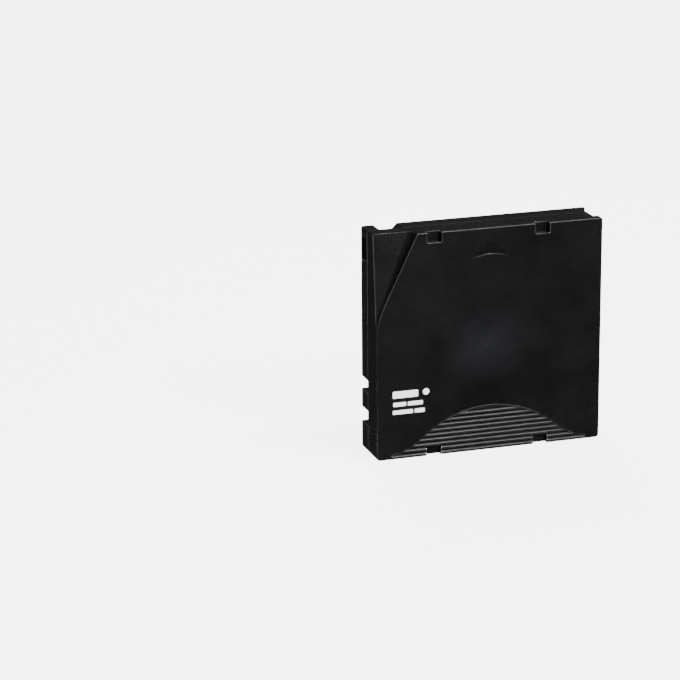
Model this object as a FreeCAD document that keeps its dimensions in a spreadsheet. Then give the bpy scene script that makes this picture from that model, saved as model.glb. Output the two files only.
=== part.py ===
"""Tape cleaning cartridge, standing on its rear end.

X runs across the case, Y through its thickness, Z from the rear end to the insertion end.
The upper moulding faces -Y and the lower one, with the drive opening, faces +Y.
The origin is the middle of the rear end. Sizes are millimetres, angles are degrees.
"""
import FreeCAD, Part
import math
import os

import Sketcher

V = FreeCAD.Vector
doc = FreeCAD.newDocument("cleaning_cartridge")

SIZES = {
    # case
    "case_width": 105.4,
    "case_length": 102.0,
    "case_thickness": 21.5,
    "upper_depth": 12.55,
    "plate_wall": 2.2,
    "side_wall": 2.0,
    "rear_corner": 1.5,
    "front_corner": 0.8,
    "rim_round": 0.45,
    "weld_depth": 0.2,
    "cut_past": 1.0,
    "groove_past": 0.5,
    # guide recess beside the reel
    "guide_margin": 5.2,
    "guide_lean": 26.0,
    "guide_rise": 0.1,
    "guide_lead": 6.0,
    "guide_depth": 5.2,
    "guide_wall": 2.0,
    "guide_fillet_low": 0.8,
    "guide_fillet_mid": 1.7,
    "guide_fillet_high": 4.0,
    # handling notches on the upper face
    "notch_shift": 0.9,
    "notch_spacing": 50.4,
    "notch_width": 6.8,
    "notch_height": 4.7,
    "notch_depth": 2.6,
    "notch_backing": 1.8,
    # gate mark in the middle of the upper face
    "gate_radius": 1.3,
    "gate_depth": 0.3,
    # finger nick
    "nick_radius": 20.0,
    "nick_chord": 16.0,
    "nick_depth": 0.4,
    "nick_setback": 11.8,
    "nick_fade": 4.8,
    # ribbed grip
    "grip_count": 9,
    "grip_pitch": 2.13,
    "grip_first": 0.75,
    "grip_depth": 0.55,
    "grip_crest": 0.6,
    "grip_radius": 48.0,
    "grip_apex": 20.5,
    "grip_flare_half": 32.0,
    "grip_flare_radius": 25.0,
    "grip_end_half": 46.0,
    "scoop_chord": 50.0,
    "scoop_depth": 0.35,
    "scoop_fade": 4.0,
    "side_grip_count": 6,
    "side_grip_depth": 0.4,
    "side_grip_rim": 0.6,
    "side_grip_land": 2.4,
    # notches of the lower moulding
    "corner_inset": 0.6,
    "low_notch_depth": 3.6,
    "low_notch_backing": 1.4,
    "rear_notch_from": 12.6,
    "rear_notch_to": 19.5,
    "mid_notch_from": 27.7,
    "mid_notch_to": 33.6,
    "end_notch_from": 5.4,
    "end_notch_to": 16.7,
    "end_notch_slant": 4.0,
    "end_notch_depth": 3.8,
    "slot_setback": 3.9,
    "slot_length": 10.4,
    "slot_depth": 1.3,
    "slot_low": 0.7,
    "slot_height": 7.5,
    # bare recess for a label on the rear end
    "label_inset": 0.4,
    "label_half": 34.0,
    "label_height": 12.5,
    # reel
    "hub_shift": 1.8,
    "hub_drop": 1.1,
    "hub_radius": 22.0,
    "barrel_wall": 2.5,
    "hub_floor": 2.2,
    "reel_margin": 1.4,
    "flange_wall": 0.9,
    "tape_width": 12.65,
    "tape_side_gap": 0.1,
    "pack_radius": 33.0,
    "pack_bore_gap": 0.05,
    "tape_thickness": 0.2,
    "reel_gap": 0.3,
    "opening_radius": 17.6,
    "opening_chamfer": 0.4,
    "rim_radius": 18.2,
    "rim_wall": 0.9,
    "rim_height": 1.35,
    "seat_ring_gap": 0.4,
    "seat_ring_wall": 0.9,
    "seat_ring_height": 1.1,
    "tooth_count": 30,
    "tooth_inner": 14.0,
    "tooth_length": 3.0,
    "tooth_height": 1.2,
    "tooth_base": 1.9,
    "tooth_tip": 0.4,
    "tooth_root": 0.1,
    "plate_gap": 0.4,
    "plate_bore": 4.0,
    "plate_thickness": 0.8,
    "ring_rib_gap": 1.1,
    "ring_rib_wall": 1.0,
    "ring_rib_height": 1.3,
    # brake
    "brake_tooth_count": 24,
    "brake_gap": 1.6,
    "brake_tooth_length": 3.4,
    "brake_tooth_height": 1.2,
    "brake_tooth_base": 2.2,
    "brake_tooth_tip": 0.6,
    "brake_disc": 2.3,
    "brake_edge": 0.9,
    "brake_travel": 1.4,
    "post_side": 6.8,
    "socket_radius": 6.2,
    "socket_height": 5.2,
    "socket_floor": 1.0,
    "brake_spring_radius": 7.6,
    "brake_spring_wire": 0.9,
    "brake_spring_turns": 2.5,
    "spring_ring_gap": 0.5,
    "spring_ring_wall": 0.8,
    "spring_ring_height": 1.2,
    "pad_thickness": 0.9,
    "pad_dome_radius": 3.0,
    "leg_count": 3,
    "leg_radius": 1.1,
    "leg_hole_gap": 0.4,
    "leg_length": 3.1,
    "slide_gap": 0.3,
    "end_gap": 0.05,
    # leader pin
    "pin_inset": 8.7,
    "pin_setback": 9.5,
    "pin_length": 16.5,
    "pin_head_radius": 2.3,
    "pin_head": 0.9,
    "pin_neck_radius": 1.2,
    "pin_neck": 0.6,
    "pin_shaft_radius": 1.5,
    "clip_wall": 0.6,
    "clip_length": 11.5,
    "clip_slot": 1.2,
    "retainer_wire": 0.3,
    "retainer_arm": 4.0,
    "retainer_back": 1.5,
    "pin_post_radius": 0.7,
    "pin_post_height": 1.1,
    "pin_slot_gap": 0.6,
    # door
    "door_wall": 1.3,
    "door_inset": 1.5,
    "door_length": 19.6,
    "door_travel": 15.0,
    "door_nose": 3.0,
    "door_nose_width": 3.2,
    "door_round": 1.0,
    "door_tail": 4.0,
    "door_tail_lap": 1.0,
    "door_tail_height": 5.0,
    "door_recess": 0.4,
    "door_opening": 17.5,
    "door_wall_skin": 1.2,
    "rail_height": 2.05,
    "rail_wall": 0.7,
    "door_spring_room": 15.0,
    "seat_wall": 2.0,
    "door_spring_radius": 1.3,
    "door_spring_wire": 0.4,
    "door_spring_turns": 5,
    "peg_radius": 0.8,
    "peg_length": 5.0,
    # write protect tab
    "window_from": 6.2,
    "window_width": 11.0,
    "window_low": 1.2,
    "window_height": 5.0,
    "tab_length": 5.2,
    "tab_plate": 1.2,
    "tab_inset": 0.5,
    "tab_margin": 1.4,
    "tab_side_margin": 0.9,
    "tab_top_margin": 0.25,
    "tab_guide_wall": 1.0,
    "tab_guide_height": 4.5,
    "tab_groove": 0.5,
    # memory tag
    "tag_inset": 13.2,
    "tag_rise": 3.2,
    "tag_height": 5.5,
    "tag_length": 15.0,
    "tag_width": 8.0,
    "tag_thickness": 0.8,
    "tag_rib": 1.2,
    "tag_gap": 0.15,
    "chip_side": 2.4,
    "chip_height": 0.5,
    # screws
    "screw_left_high_inset": 7.2,
    "screw_left_high_setback": 16.0,
    "screw_right_high_inset": 19.7,
    "screw_right_high_setback": 6.2,
    "screw_left_low_inset": 9.2,
    "screw_left_low_rise": 9.5,
    "screw_right_low_inset": 7.2,
    "screw_right_low_rise": 14.0,
    "screw_head_radius": 2.4,
    "screw_head": 1.5,
    "screw_shank_radius": 1.3,
    "screw_length": 10.0,
    "screw_well": 2.4,
    "screw_well_gap": 0.2,
    "screw_hole_gap": 0.05,
    "screw_tip_gap": 0.4,
    "screw_cross_width": 0.7,
    "screw_cross_length": 2.8,
    "screw_cross_depth": 0.9,
    "boss_radius": 3.1,
}

SCREWS = ("left_high", "right_high", "left_low", "right_low")

sheet = doc.addObject("Spreadsheet::Sheet", "Sizes")
for row, (alias, size) in enumerate(SIZES.items(), start=1):
    sheet.set(f"A{row}", alias)
    sheet.set(f"B{row}", str(size))
    sheet.setAlias(f"B{row}", alias)
doc.recompute()

# Levels and edges worked out from the sizes, as expressions over the sheet.
UPPER_FACE = "(-case_thickness / 2)"
LOWER_FACE = "(case_thickness / 2)"
UPPER_INSIDE = f"({UPPER_FACE} + plate_wall)"
LOWER_INSIDE = f"({LOWER_FACE} - plate_wall)"
PARTING = f"({UPPER_FACE} + upper_depth)"
LEFT = "(-case_width / 2)"
RIGHT = "(case_width / 2)"
LEFT_INSIDE = f"({LEFT} + side_wall)"
RIGHT_INSIDE = f"({RIGHT} - side_wall)"
FRONT_INSIDE = "(case_length - side_wall)"
HUB_X = "(-hub_shift)"
HUB_Z = "(case_length / 2 - hub_drop)"
FLANGE_RADIUS = (
    f"(min({HUB_X} - {LEFT_INSIDE}; {RIGHT_INSIDE} - {HUB_X};"
    f" {HUB_Z} - side_wall; {FRONT_INSIDE} - {HUB_Z}) - reel_margin)"
)
GUIDE_RADIUS = f"({FLANGE_RADIUS} + guide_margin)"
BRAKE_RIM = "(hub_radius - barrel_wall - brake_gap)"
BRAKE_TOOTH_INNER = f"({BRAKE_RIM} - brake_edge - brake_tooth_length)"
LEG_CIRCLE = f"({BRAKE_TOOTH_INNER} - slide_gap - leg_radius)"
PLATE_RADIUS = f"({LEG_CIRCLE} - leg_radius - leg_hole_gap - plate_gap)"
GUIDE_START = f"({HUB_Z} + guide_rise)"
UPPER_SUNK = f"({UPPER_INSIDE} - weld_depth)"
LOWER_SUNK = f"({LOWER_INSIDE} + weld_depth)"

RIM_END = f"({LOWER_INSIDE} - reel_gap)"
LOW_FLANGE_OUT = f"({RIM_END} - rim_height)"
LOW_FLANGE_IN = f"({LOW_FLANGE_OUT} - flange_wall)"
TAPE_LOW = f"({LOW_FLANGE_IN} - tape_side_gap)"
TAPE_HIGH = f"({TAPE_LOW} - tape_width)"
HIGH_FLANGE_IN = f"({TAPE_HIGH} - tape_side_gap)"
HIGH_FLANGE_OUT = f"({HIGH_FLANGE_IN} - flange_wall)"
FLOOR_INSIDE = f"({LOW_FLANGE_OUT} - hub_floor)"
HUB_TOOTH_TIP = f"({FLOOR_INSIDE} - brake_tooth_height)"
BRAKE_UNDER = f"({HUB_TOOTH_TIP} - slide_gap - brake_tooth_height)"
BRAKE_TOP = f"({BRAKE_UNDER} - brake_disc)"
SOCKET_FLOOR = f"({BRAKE_UNDER} - socket_floor)"
POST_END = f"({SOCKET_FLOOR} - brake_travel - slide_gap)"
PAD_UNDER = f"({FLOOR_INSIDE} - slide_gap)"
PAD_TOP = f"({PAD_UNDER} - pad_thickness)"

PIN_X = f"({RIGHT} - pin_inset)"
PIN_Z = "(case_length - pin_setback)"
CLIP_RADIUS = "(pin_shaft_radius + end_gap + clip_wall)"
CLIP_MIDDLE = f"(({TAPE_LOW} + {TAPE_HIGH}) / 2)"
RETAINER_RADIUS = "(pin_head_radius + end_gap + retainer_wire)"

DOOR_OUT = f"({RIGHT} - door_inset)"
DOOR_IN = f"({DOOR_OUT} - door_wall)"
DOOR_NOSE_IN = f"({DOOR_OUT} - door_nose_width)"
DOOR_FRONT = "(case_length - door_recess)"
DOOR_REAR = f"({DOOR_FRONT} - door_length)"
DOOR_TAIL_END = f"({DOOR_REAR} - door_tail)"
RAIL_FACE = f"({UPPER_INSIDE} + rail_height)"
DOOR_HIGH = f"({RAIL_FACE} + slide_gap)"
DOOR_LOW = f"({LOWER_INSIDE} - slide_gap)"
DOOR_MIDDLE = f"(({DOOR_HIGH} + {DOOR_LOW}) / 2)"
GUIDE_FACE = f"({DOOR_NOSE_IN} - reel_gap - end_gap * 2)"
SPRING_X = f"(({DOOR_NOSE_IN} + {DOOR_OUT}) / 2)"
RAIL_START = f"({DOOR_TAIL_END} - door_travel - door_spring_room)"
SEAT_TOP = f"({RAIL_START} + seat_wall)"
SKIN_IN = f"({RIGHT} - door_wall_skin)"
OPENING_START = "(case_length - door_opening)"

WINDOW_X = f"({LEFT} + window_from)"
WINDOW_LOW = f"({PARTING} + window_low)"
TAB_BACK = "(side_wall + slide_gap)"
TAG_X = f"({RIGHT} - tag_inset)"
TAG_BACK = f"({LOWER_INSIDE} - tag_rise)"
NICK_APEX = "(case_length - nick_setback)"
SLOT_TOP = "(case_length - slot_setback)"

NORMAL = {"XZ_Plane": -1, "YZ_Plane": 1, "XY_Plane": 1}


def number(text):
    """The value of an expression over the sizes."""
    return float(sheet.evalExpression(str(text)))


def tied(text):
    """The expression with every size's name pointed at the sheet."""
    words = str(text)
    parts = []
    word = ""
    for letter in words + " ":
        if letter.isalpha() or letter == "_":
            word += letter
            continue
        parts.append("Sizes." + word if word in SIZES else word)
        parts.append(letter)
        word = ""
    return "".join(parts).strip()


def bind(thing, **sizes):
    """Bind properties of an object to expressions; two underscores stand for a dot."""
    for name, text in sizes.items():
        thing.setExpression(name.replace("__", "."), tied(text))
    return thing


def place(thing, x="0", y="0", z="0"):
    """Bind an object's place."""
    return bind(thing, Placement__Base__x=x, Placement__Base__y=y, Placement__Base__z=z)


def turned(thing, axis, angle):
    """Turn an object about an axis through its own origin, before its place is bound."""
    thing.Placement = FreeCAD.Placement(V(0, 0, 0), FreeCAD.Rotation(axis, angle))
    return thing


def block(name, across, through, up):
    """A box from three pairs of edges: across is X, through is Y, up is Z."""
    box = doc.addObject("Part::Box", name)
    bind(
        box,
        Length=f"{across[1]} - ({across[0]})",
        Width=f"{through[1]} - ({through[0]})",
        Height=f"{up[1]} - ({up[0]})",
    )
    return place(box, across[0], through[0], up[0])


def rod_through(name, x, z, through, radius):
    """A round rod along Y, between the two levels of through."""
    rod = turned(doc.addObject("Part::Cylinder", name), V(1, 0, 0), -90)
    bind(rod, Radius=radius, Height=f"{through[1]} - ({through[0]})")
    return place(rod, x, through[0], z)


def fused(name, pieces):
    """The union of several objects."""
    union = doc.addObject("Part::MultiFuse", name)
    union.Shapes = pieces
    union.Refine = True
    return union


def less(name, base, tool):
    """What is left of base when tool is taken away."""
    rest = doc.addObject("Part::Cut", name)
    rest.Base = base
    rest.Tool = tool
    rest.Refine = True
    return rest


def shared(name, first, second):
    """What two objects have in common."""
    common = doc.addObject("Part::Common", name)
    common.Base = first
    common.Tool = second
    return common


def pipe_ring(name, x, z, through, inner, outer):
    """A round ring along Y."""
    solid = rod_through(name + "_outer", x, z, through, outer)
    hole = rod_through(name + "_hole", x, z, (f"{through[0]} - cut_past", f"{through[1]} + cut_past"), inner)
    return less(name, solid, hole)


def sketch_on(body, plane, level):
    """A sketch on one of the body's origin planes, moved to a level along that plane's axis."""
    doc.recompute()
    support = next(item for item in body.Origin.OriginFeatures if item.Role == plane)
    sketch = body.newObject("Sketcher::SketchObject", body.Name + "_sketch")
    sketch.AttachmentSupport = [(support, "")]
    sketch.MapMode = "FlatFace"
    bind(sketch, AttachmentOffset__Base__z=f"{NORMAL[plane]} * ({level})")
    return sketch


def arc_centre(start, finish, radius, leftward):
    """The centre of a short arc from start to finish, on the left of the way or on its right."""
    chord = finish - start
    half = chord.Length / 2
    side = V(-chord.y, chord.x, 0).normalize()
    height = math.sqrt(max(radius * radius - half * half, 0))
    return (start + finish) / 2 + side * (height if leftward else -height)


def outline(sketch, corners, arcs=()):
    """A closed outline. arcs maps a side's number to its radius and the side its centre is on."""
    arcs = dict(arcs)
    spots = [V(number(x), number(y), 0) for x, y in corners]
    ends = []
    for side, start in enumerate(spots):
        finish = spots[(side + 1) % len(spots)]
        if side not in arcs:
            sketch.addGeometry(Part.LineSegment(start, finish), False)
            ends.append((1, 2))
            continue
        radius, centre_side = arcs[side]
        leftward = centre_side == "left"
        centre = arc_centre(start, finish, number(radius), leftward)
        first, last = (start, finish) if leftward else (finish, start)
        angles = [math.atan2((spot - centre).y, (spot - centre).x) for spot in (first, last)]
        circle = Part.Circle(centre, V(0, 0, 1), number(radius))
        sketch.addGeometry(Part.ArcOfCircle(circle, angles[0], angles[1]), False)
        ends.append((1, 2) if leftward else (2, 1))
    for side, (x, y) in enumerate(corners):
        following = (side + 1) % len(corners)
        joined = (side, ends[side][1], following, ends[following][0])
        sketch.addConstraint(Sketcher.Constraint("Coincident", *joined))
        for kind, text, value in (("DistanceX", x, spots[side].x), ("DistanceY", y, spots[side].y)):
            at = sketch.addConstraint(Sketcher.Constraint(kind, -1, 1, side, ends[side][0], value))
            sketch.setExpression(f"Constraints[{at}]", tied(text))
    for side, (radius, _) in arcs.items():
        at = sketch.addConstraint(Sketcher.Constraint("Radius", side, number(radius)))
        sketch.setExpression(f"Constraints[{at}]", tied(radius))
    return sketch


def circle(sketch, x, y, radius):
    """A circle in a sketch."""
    at = sketch.addGeometry(Part.Circle(V(number(x), number(y), 0), V(0, 0, 1), number(radius)), False)
    for kind, text in (("DistanceX", x), ("DistanceY", y)):
        row = sketch.addConstraint(Sketcher.Constraint(kind, -1, 1, at, 3, number(text)))
        sketch.setExpression(f"Constraints[{row}]", tied(text))
    row = sketch.addConstraint(Sketcher.Constraint("Radius", at, number(radius)))
    sketch.setExpression(f"Constraints[{row}]", tied(radius))
    return sketch


def grow(body, sketch, plane, length, way=1):
    """Add a prism on a sketch; way is +1 or -1 along the plane's axis."""
    pad = body.newObject("PartDesign::Pad", body.Name + "_pad")
    pad.Profile = sketch
    pad.Reversed = way != NORMAL[plane]
    return bind(pad, Length=length)


def sink(body, sketch, plane, length, way=1):
    """Cut a prism on a sketch; way is +1 or -1 along the plane's axis."""
    pocket = body.newObject("PartDesign::Pocket", body.Name + "_pocket")
    pocket.Profile = sketch
    pocket.Reversed = way == NORMAL[plane]
    return bind(pocket, Length=length)


def around(body, feature, count):
    """Repeat a feature evenly round the body's own Z axis."""
    pattern = body.newObject("PartDesign::PolarPattern", body.Name + "_round")
    pattern.Originals = [feature]
    axis = next(item for item in body.Origin.OriginFeatures if item.Role == "Z_Axis")
    pattern.Axis = (axis, [""])
    pattern.Angle = 360
    bind(pattern, Occurrences=count)
    body.Tip = pattern
    return pattern


def eased(body, radius, chosen, kind="Fillet"):
    """Round or bevel the edges of the body that the test picks."""
    doc.recompute()
    base = body.Tip
    names = [f"Edge{index}" for index, edge in enumerate(base.Shape.Edges, start=1) if chosen(edge)]
    feature = body.newObject("PartDesign::" + kind, body.Name + "_edges")
    feature.Base = (base, names)
    return bind(feature, **{"Radius" if kind == "Fillet" else "Size": radius})


def revolved(body, corners, arcs=()):
    """A solid turned about the body's own Z axis from a half section of radius and height."""
    section = outline(sketch_on(body, "XZ_Plane", "0"), corners, arcs)
    turn = body.newObject("PartDesign::Revolution", body.Name + "_turn")
    turn.Profile = section
    turn.ReferenceAxis = (section, ["V_Axis"])
    turn.Angle = 360
    return turn


def new_body(name):
    """An empty body."""
    return doc.addObject("PartDesign::Body", name)


def on_reel(thing):
    """Stand an object, drawn about its own Z, on the reel's axis with its Z along +Y."""
    turned(thing, V(1, 0, 0), -90)
    return place(thing, HUB_X, "0", HUB_Z)


def labelled(thing, name):
    """Name a finished sub-part."""
    thing.Label = name
    return thing


def level_edge(edge, level):
    """True where an edge lies wholly at a level along Y."""
    return all(abs(vertex.Point.y - level) < 1e-4 for vertex in edge.Vertexes)


# Case

def case_block(name, high, low, rounded):
    """The outside of one moulding, with round corners and a soft rim on its large face."""
    body = new_body(name)
    rear, front = "rear_corner", "front_corner"
    corners = [
        (f"{LEFT} + {rear}", "0"), (f"{RIGHT} - {rear}", "0"),
        (RIGHT, rear), (RIGHT, f"case_length - {front}"),
        (f"{RIGHT} - {front}", "case_length"), (f"{LEFT} + {front}", "case_length"),
        (LEFT, f"case_length - {front}"), (LEFT, rear),
    ]
    arcs = {1: (rear, "left"), 3: (front, "left"), 5: (front, "left"), 7: (rear, "left")}
    section = outline(sketch_on(body, "XZ_Plane", high), corners, arcs)
    grow(body, section, "XZ_Plane", f"{low} - ({high})", 1)
    eased(body, "rim_round", lambda edge: level_edge(edge, number(rounded)))
    return body


def case_room(name, high, low):
    """The hollow of one moulding."""
    return block(name, (LEFT_INSIDE, RIGHT_INSIDE), (high, low), ("side_wall", FRONT_INSIDE))


def guide_outline(name, radius):
    """A prism over the guide recess: an arc about the reel, then its tangent to the insertion end."""
    body = new_body(name)
    beyond = "(case_length + cut_past * 2)"
    touch_x = f"({HUB_X} - ({radius}) * cos(guide_lean))"
    touch_z = f"({HUB_Z} + ({radius}) * sin(guide_lean))"
    far_left = f"({HUB_X} - {GUIDE_RADIUS} - cut_past * 1.5)"
    corners = [
        (f"{HUB_X} - ({radius})", HUB_Z),
        (touch_x, touch_z),
        (f"{touch_x} + ({beyond} - {touch_z}) * tan(guide_lean)", beyond),
        (far_left, beyond),
        (far_left, HUB_Z),
    ]
    top = f"{UPPER_FACE} - cut_past * 2"
    section = outline(sketch_on(body, "XZ_Plane", top), corners, {0: (radius, "right")})
    grow(body, section, "XZ_Plane", "upper_depth + cut_past * 2", 1)
    return body


def guide_slope(name, depth):
    """A wedge from outside the upper face down to the ramp, set deeper by depth."""
    body = new_body(name)
    before, beyond = f"({GUIDE_START} - guide_lead)", "(case_length + cut_past * 2)"
    ramp = f"guide_depth / (case_length - {GUIDE_START})"
    outside = f"{UPPER_FACE} - cut_past * 2"
    corners = [
        (outside, before),
        (f"{UPPER_FACE} + {depth} + ({before} - {GUIDE_START}) * {ramp}", before),
        (f"{UPPER_FACE} + {depth} + ({beyond} - {GUIDE_START}) * {ramp}", beyond),
        (outside, beyond),
    ]
    section = outline(sketch_on(body, "YZ_Plane", f"{HUB_X} - {GUIDE_RADIUS} - cut_past * 2"), corners)
    grow(body, section, "YZ_Plane", f"{GUIDE_RADIUS} * 2", 1)
    return body


def guide_recess():
    """The recess itself: outline and wedge together, with a growing round where wall meets ramp."""
    recess = shared("guide_recess", guide_outline("guide_plan", GUIDE_RADIUS), guide_slope("guide_ramp", "0"))
    doc.recompute()
    rounds = doc.addObject("Part::Fillet", "guide_recess_round")
    rounds.Base = recess
    picked = []
    ramp_normal = V(0, number(f"case_length - {GUIDE_START}"), -number("guide_depth")).normalize()
    ramp_point = V(0, number(UPPER_FACE), number(GUIDE_START))
    low, mid, high = (number("guide_fillet_" + part) for part in ("low", "mid", "high"))
    for index, edge in enumerate(recess.Shape.Edges, start=1):
        span = edge.LastParameter - edge.FirstParameter
        spots = [edge.valueAt(edge.FirstParameter + span * share) for share in (0, 0.5, 1)]
        on_ramp = all(abs((spot - ramp_point).dot(ramp_normal)) < 1e-3 for spot in spots)
        edge_of_wall = (spots[0].x > number(f"{HUB_X} - {GUIDE_RADIUS} - cut_past / 2")
                        and abs(spots[0].z - spots[2].z) > number("guide_fillet_high"))
        if not (on_ramp and edge_of_wall):
            continue
        straight = edge.Curve.TypeId == "Part::GeomLine"
        start, finish = (mid, high) if straight else (low, mid)
        rising = spots[2].z > spots[0].z
        picked.append((index, start, finish) if rising else (index, finish, start))
    rounds.Edges = picked
    return rounds


def grip_recess():
    """The grooves of the ribbed grip: a row of slanted troughs under a flared dome outline."""
    dome = new_body("grip_dome")
    tall = "sqrt(grip_radius * grip_radius - grip_flare_half * grip_flare_half)"
    base = f"({UPPER_FACE} - cut_past)"
    turn_z = f"(grip_apex - grip_radius + {tall})"
    flare_x = "(grip_flare_half + grip_flare_radius * grip_flare_half / grip_radius)"
    flare_z = f"({turn_z} + grip_flare_radius * {tall} / grip_radius)"
    reach = f"(grip_end_half - {flare_x})"
    end_z = f"({flare_z} - sqrt(grip_flare_radius * grip_flare_radius - {reach} * {reach}))"
    low_z = "(grip_first - grip_crest / 2)"
    corners = [
        ("grip_end_half", low_z), ("grip_end_half", end_z), ("grip_flare_half", turn_z),
        ("-grip_flare_half", turn_z), ("-grip_end_half", end_z), ("-grip_end_half", low_z),
    ]
    arcs = {1: ("grip_flare_radius", "right"), 2: ("grip_radius", "left"), 3: ("grip_flare_radius", "right")}
    section = outline(sketch_on(dome, "XZ_Plane", base), corners, arcs)
    grow(dome, section, "XZ_Plane", "grip_depth * 2 + cut_past", 1)

    troughs = new_body("grip_troughs")
    left = "(-grip_end_half - cut_past)"
    span = "(grip_end_half * 2 + cut_past * 2)"
    height = "(grip_count * grip_pitch + grip_pitch)"
    near = f"{UPPER_FACE} - groove_past / 2"
    slab = [(base, "-cut_past"), (near, "-cut_past"), (near, height), (base, height)]
    grow(troughs, outline(sketch_on(troughs, "YZ_Plane", left), slab), "YZ_Plane", span, 1)
    outer = f"({UPPER_FACE} - groove_past)"
    foot = "(grip_first + grip_crest / 2)"
    head = "(grip_first + grip_pitch - grip_crest / 2)"
    trough = [
        (outer, f"{foot} - groove_past"),
        (f"{UPPER_FACE} + grip_depth", f"{foot} + grip_depth"),
        (f"{UPPER_FACE} + grip_depth", f"{head} - grip_depth / 2"),
        (outer, f"{head} + groove_past / 2"),
    ]
    row = grow(troughs, outline(sketch_on(troughs, "YZ_Plane", left), trough), "YZ_Plane", span, 1)
    pattern = troughs.newObject("PartDesign::LinearPattern", "grip_row")
    pattern.Originals = [row]
    upward = next(item for item in troughs.Origin.OriginFeatures if item.Role == "Z_Axis")
    pattern.Direction = (upward, [""])
    bind(pattern, Occurrences="grip_count", Length="grip_pitch * (grip_count - 1)")
    troughs.Tip = pattern
    return shared("grip_recess", dome, troughs)


def side_grip(side):
    """A row of grooves across one side wall of the upper moulding."""
    body = new_body(f"side_grip_{side}")
    edge = LEFT if side == "left" else RIGHT
    inward = "1" if side == "left" else "-1"
    high = f"({UPPER_FACE} + side_grip_rim)"
    far, near = f"{edge} - {inward} * cut_past", f"{edge} - {inward} * groove_past / 2"
    height = "grip_first + side_grip_count * grip_pitch"
    slab = [(far, "groove_past"), (near, "groove_past"), (near, height), (far, height)]
    length = f"({PARTING} - side_grip_land - {high})"
    grow(body, outline(sketch_on(body, "XZ_Plane", high), slab), "XZ_Plane", length, 1)
    foot = "(grip_first + grip_crest / 2)"
    head = "(grip_first + grip_pitch - grip_crest / 2)"
    deep = f"({edge} + {inward} * side_grip_depth)"
    out = f"({edge} - {inward} * groove_past)"
    trough = [
        (out, f"{foot} - groove_past"), (deep, f"{foot} + side_grip_depth"),
        (deep, f"{head} - side_grip_depth"), (out, f"{head} + groove_past"),
    ]
    row = grow(body, outline(sketch_on(body, "XZ_Plane", high), trough), "XZ_Plane", length, 1)
    pattern = body.newObject("PartDesign::LinearPattern", f"side_grip_row_{side}")
    pattern.Originals = [row]
    upward = next(item for item in body.Origin.OriginFeatures if item.Role == "Z_Axis")
    pattern.Direction = (upward, [""])
    bind(pattern, Occurrences="side_grip_count", Length="grip_pitch * (side_grip_count - 1)")
    body.Tip = pattern
    return body


def crescent(name, radius, apex, chord, depth, fade):
    """A thin crescent: a leaning round bar less the disc that keeps its middle flush."""
    low = f"({apex} - {radius} + sqrt({radius} * {radius} - {chord} * {chord} / 4))"
    sunk = f"({depth} * ({apex} + {fade} - {low}) / {fade})"
    sweep = f"(({chord} * {chord} / 4 + {sunk} * {sunk}) / (2 * {sunk}))"
    lean = f"atan({depth} / {fade})"
    bar = turned(doc.addObject("Part::Cylinder", name + "_bar"), V(1, 0, 0), 4)
    bind(bar, Radius=sweep, Height=f"{apex} + {fade} * 2 - {low}", Placement__Rotation__Angle=lean)
    place(bar, "0", f"{UPPER_FACE} + {sunk} - {sweep} * cos({lean})", f"{low} - {sweep} * sin({lean})")
    face = (f"{UPPER_FACE} - {sweep} * 2", f"{UPPER_FACE} + {sunk} + cut_past")
    disc = rod_through(name + "_disc", "0", f"{apex} - {radius}", face, radius)
    return less(name, bar, disc)


def four_notches(kind, margin, past, through):
    """The handling notches at both ends of the upper face, or the solid that backs them inside."""
    pieces = []
    for side, sign in (("left", "-1"), ("right", "1")):
        middle = f"({sign} * notch_spacing / 2 - notch_shift)"
        across = (f"{middle} - notch_width / 2 - {margin}", f"{middle} + notch_width / 2 + {margin}")
        rear = (f"-({past})", f"notch_height + {margin}")
        front = (f"case_length - notch_height - {margin}", f"case_length + {past}")
        pieces.append(block(f"notch_{kind}_rear_{side}", across, through, rear))
        pieces.append(block(f"notch_{kind}_front_{side}", across, through, front))
    return pieces


def pin_posts(kind, through):
    """Three short posts that hold one retainer spring."""
    off = f"({RETAINER_RADIUS} + retainer_wire + end_gap + pin_post_radius)"
    back = f"({PIN_X} - retainer_back)"
    return [
        rod_through(f"pin_post_{kind}_high", back, f"{PIN_Z} + {off}", through, "pin_post_radius"),
        rod_through(f"pin_post_{kind}_low", back, f"{PIN_Z} - {off}", through, "pin_post_radius"),
        rod_through(f"pin_post_{kind}_back", f"{back} - {off}", PIN_Z, through, "pin_post_radius"),
    ]


def screw_place(name):
    """Where a screw stands across and up the case, from the two walls of its corner."""
    side, end = name.split("_")
    across = f"({LEFT} + screw_{name}_inset)" if side == "left" else f"({RIGHT} - screw_{name}_inset)"
    up = f"(case_length - screw_{name}_setback)" if end == "high" else f"screw_{name}_rise"
    return across, up


def door_guides(kind, through):
    """The thin wall beside the door and the seat of its spring."""
    wall = (f"{GUIDE_FACE} - rail_wall", GUIDE_FACE)
    seat = (f"{GUIDE_FACE} - weld_depth", f"{RIGHT_INSIDE} + weld_depth")
    return [
        block(f"door_wall_{kind}", wall, through, (RAIL_START, OPENING_START)),
        block(f"spring_seat_{kind}", seat, through, (RAIL_START, SEAT_TOP)),
    ]


def door_cuts(kind, through):
    """The opening for the leader pin and the thinner wall that the door slides behind."""
    beyond = f"{RIGHT} + cut_past"
    front = "case_length + cut_past"
    pin_way = (f"{DOOR_IN} - weld_depth", beyond)
    bay = (f"{RIGHT_INSIDE} - cut_past", SKIN_IN)
    return [
        block(f"door_opening_{kind}", pin_way, through, (OPENING_START, front)),
        block(f"nose_opening_{kind}", (GUIDE_FACE, beyond), through, (f"{FRONT_INSIDE} - weld_depth", front)),
        block(f"door_bay_{kind}", bay, through, (SEAT_TOP, FRONT_INSIDE)),
    ]


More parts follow.
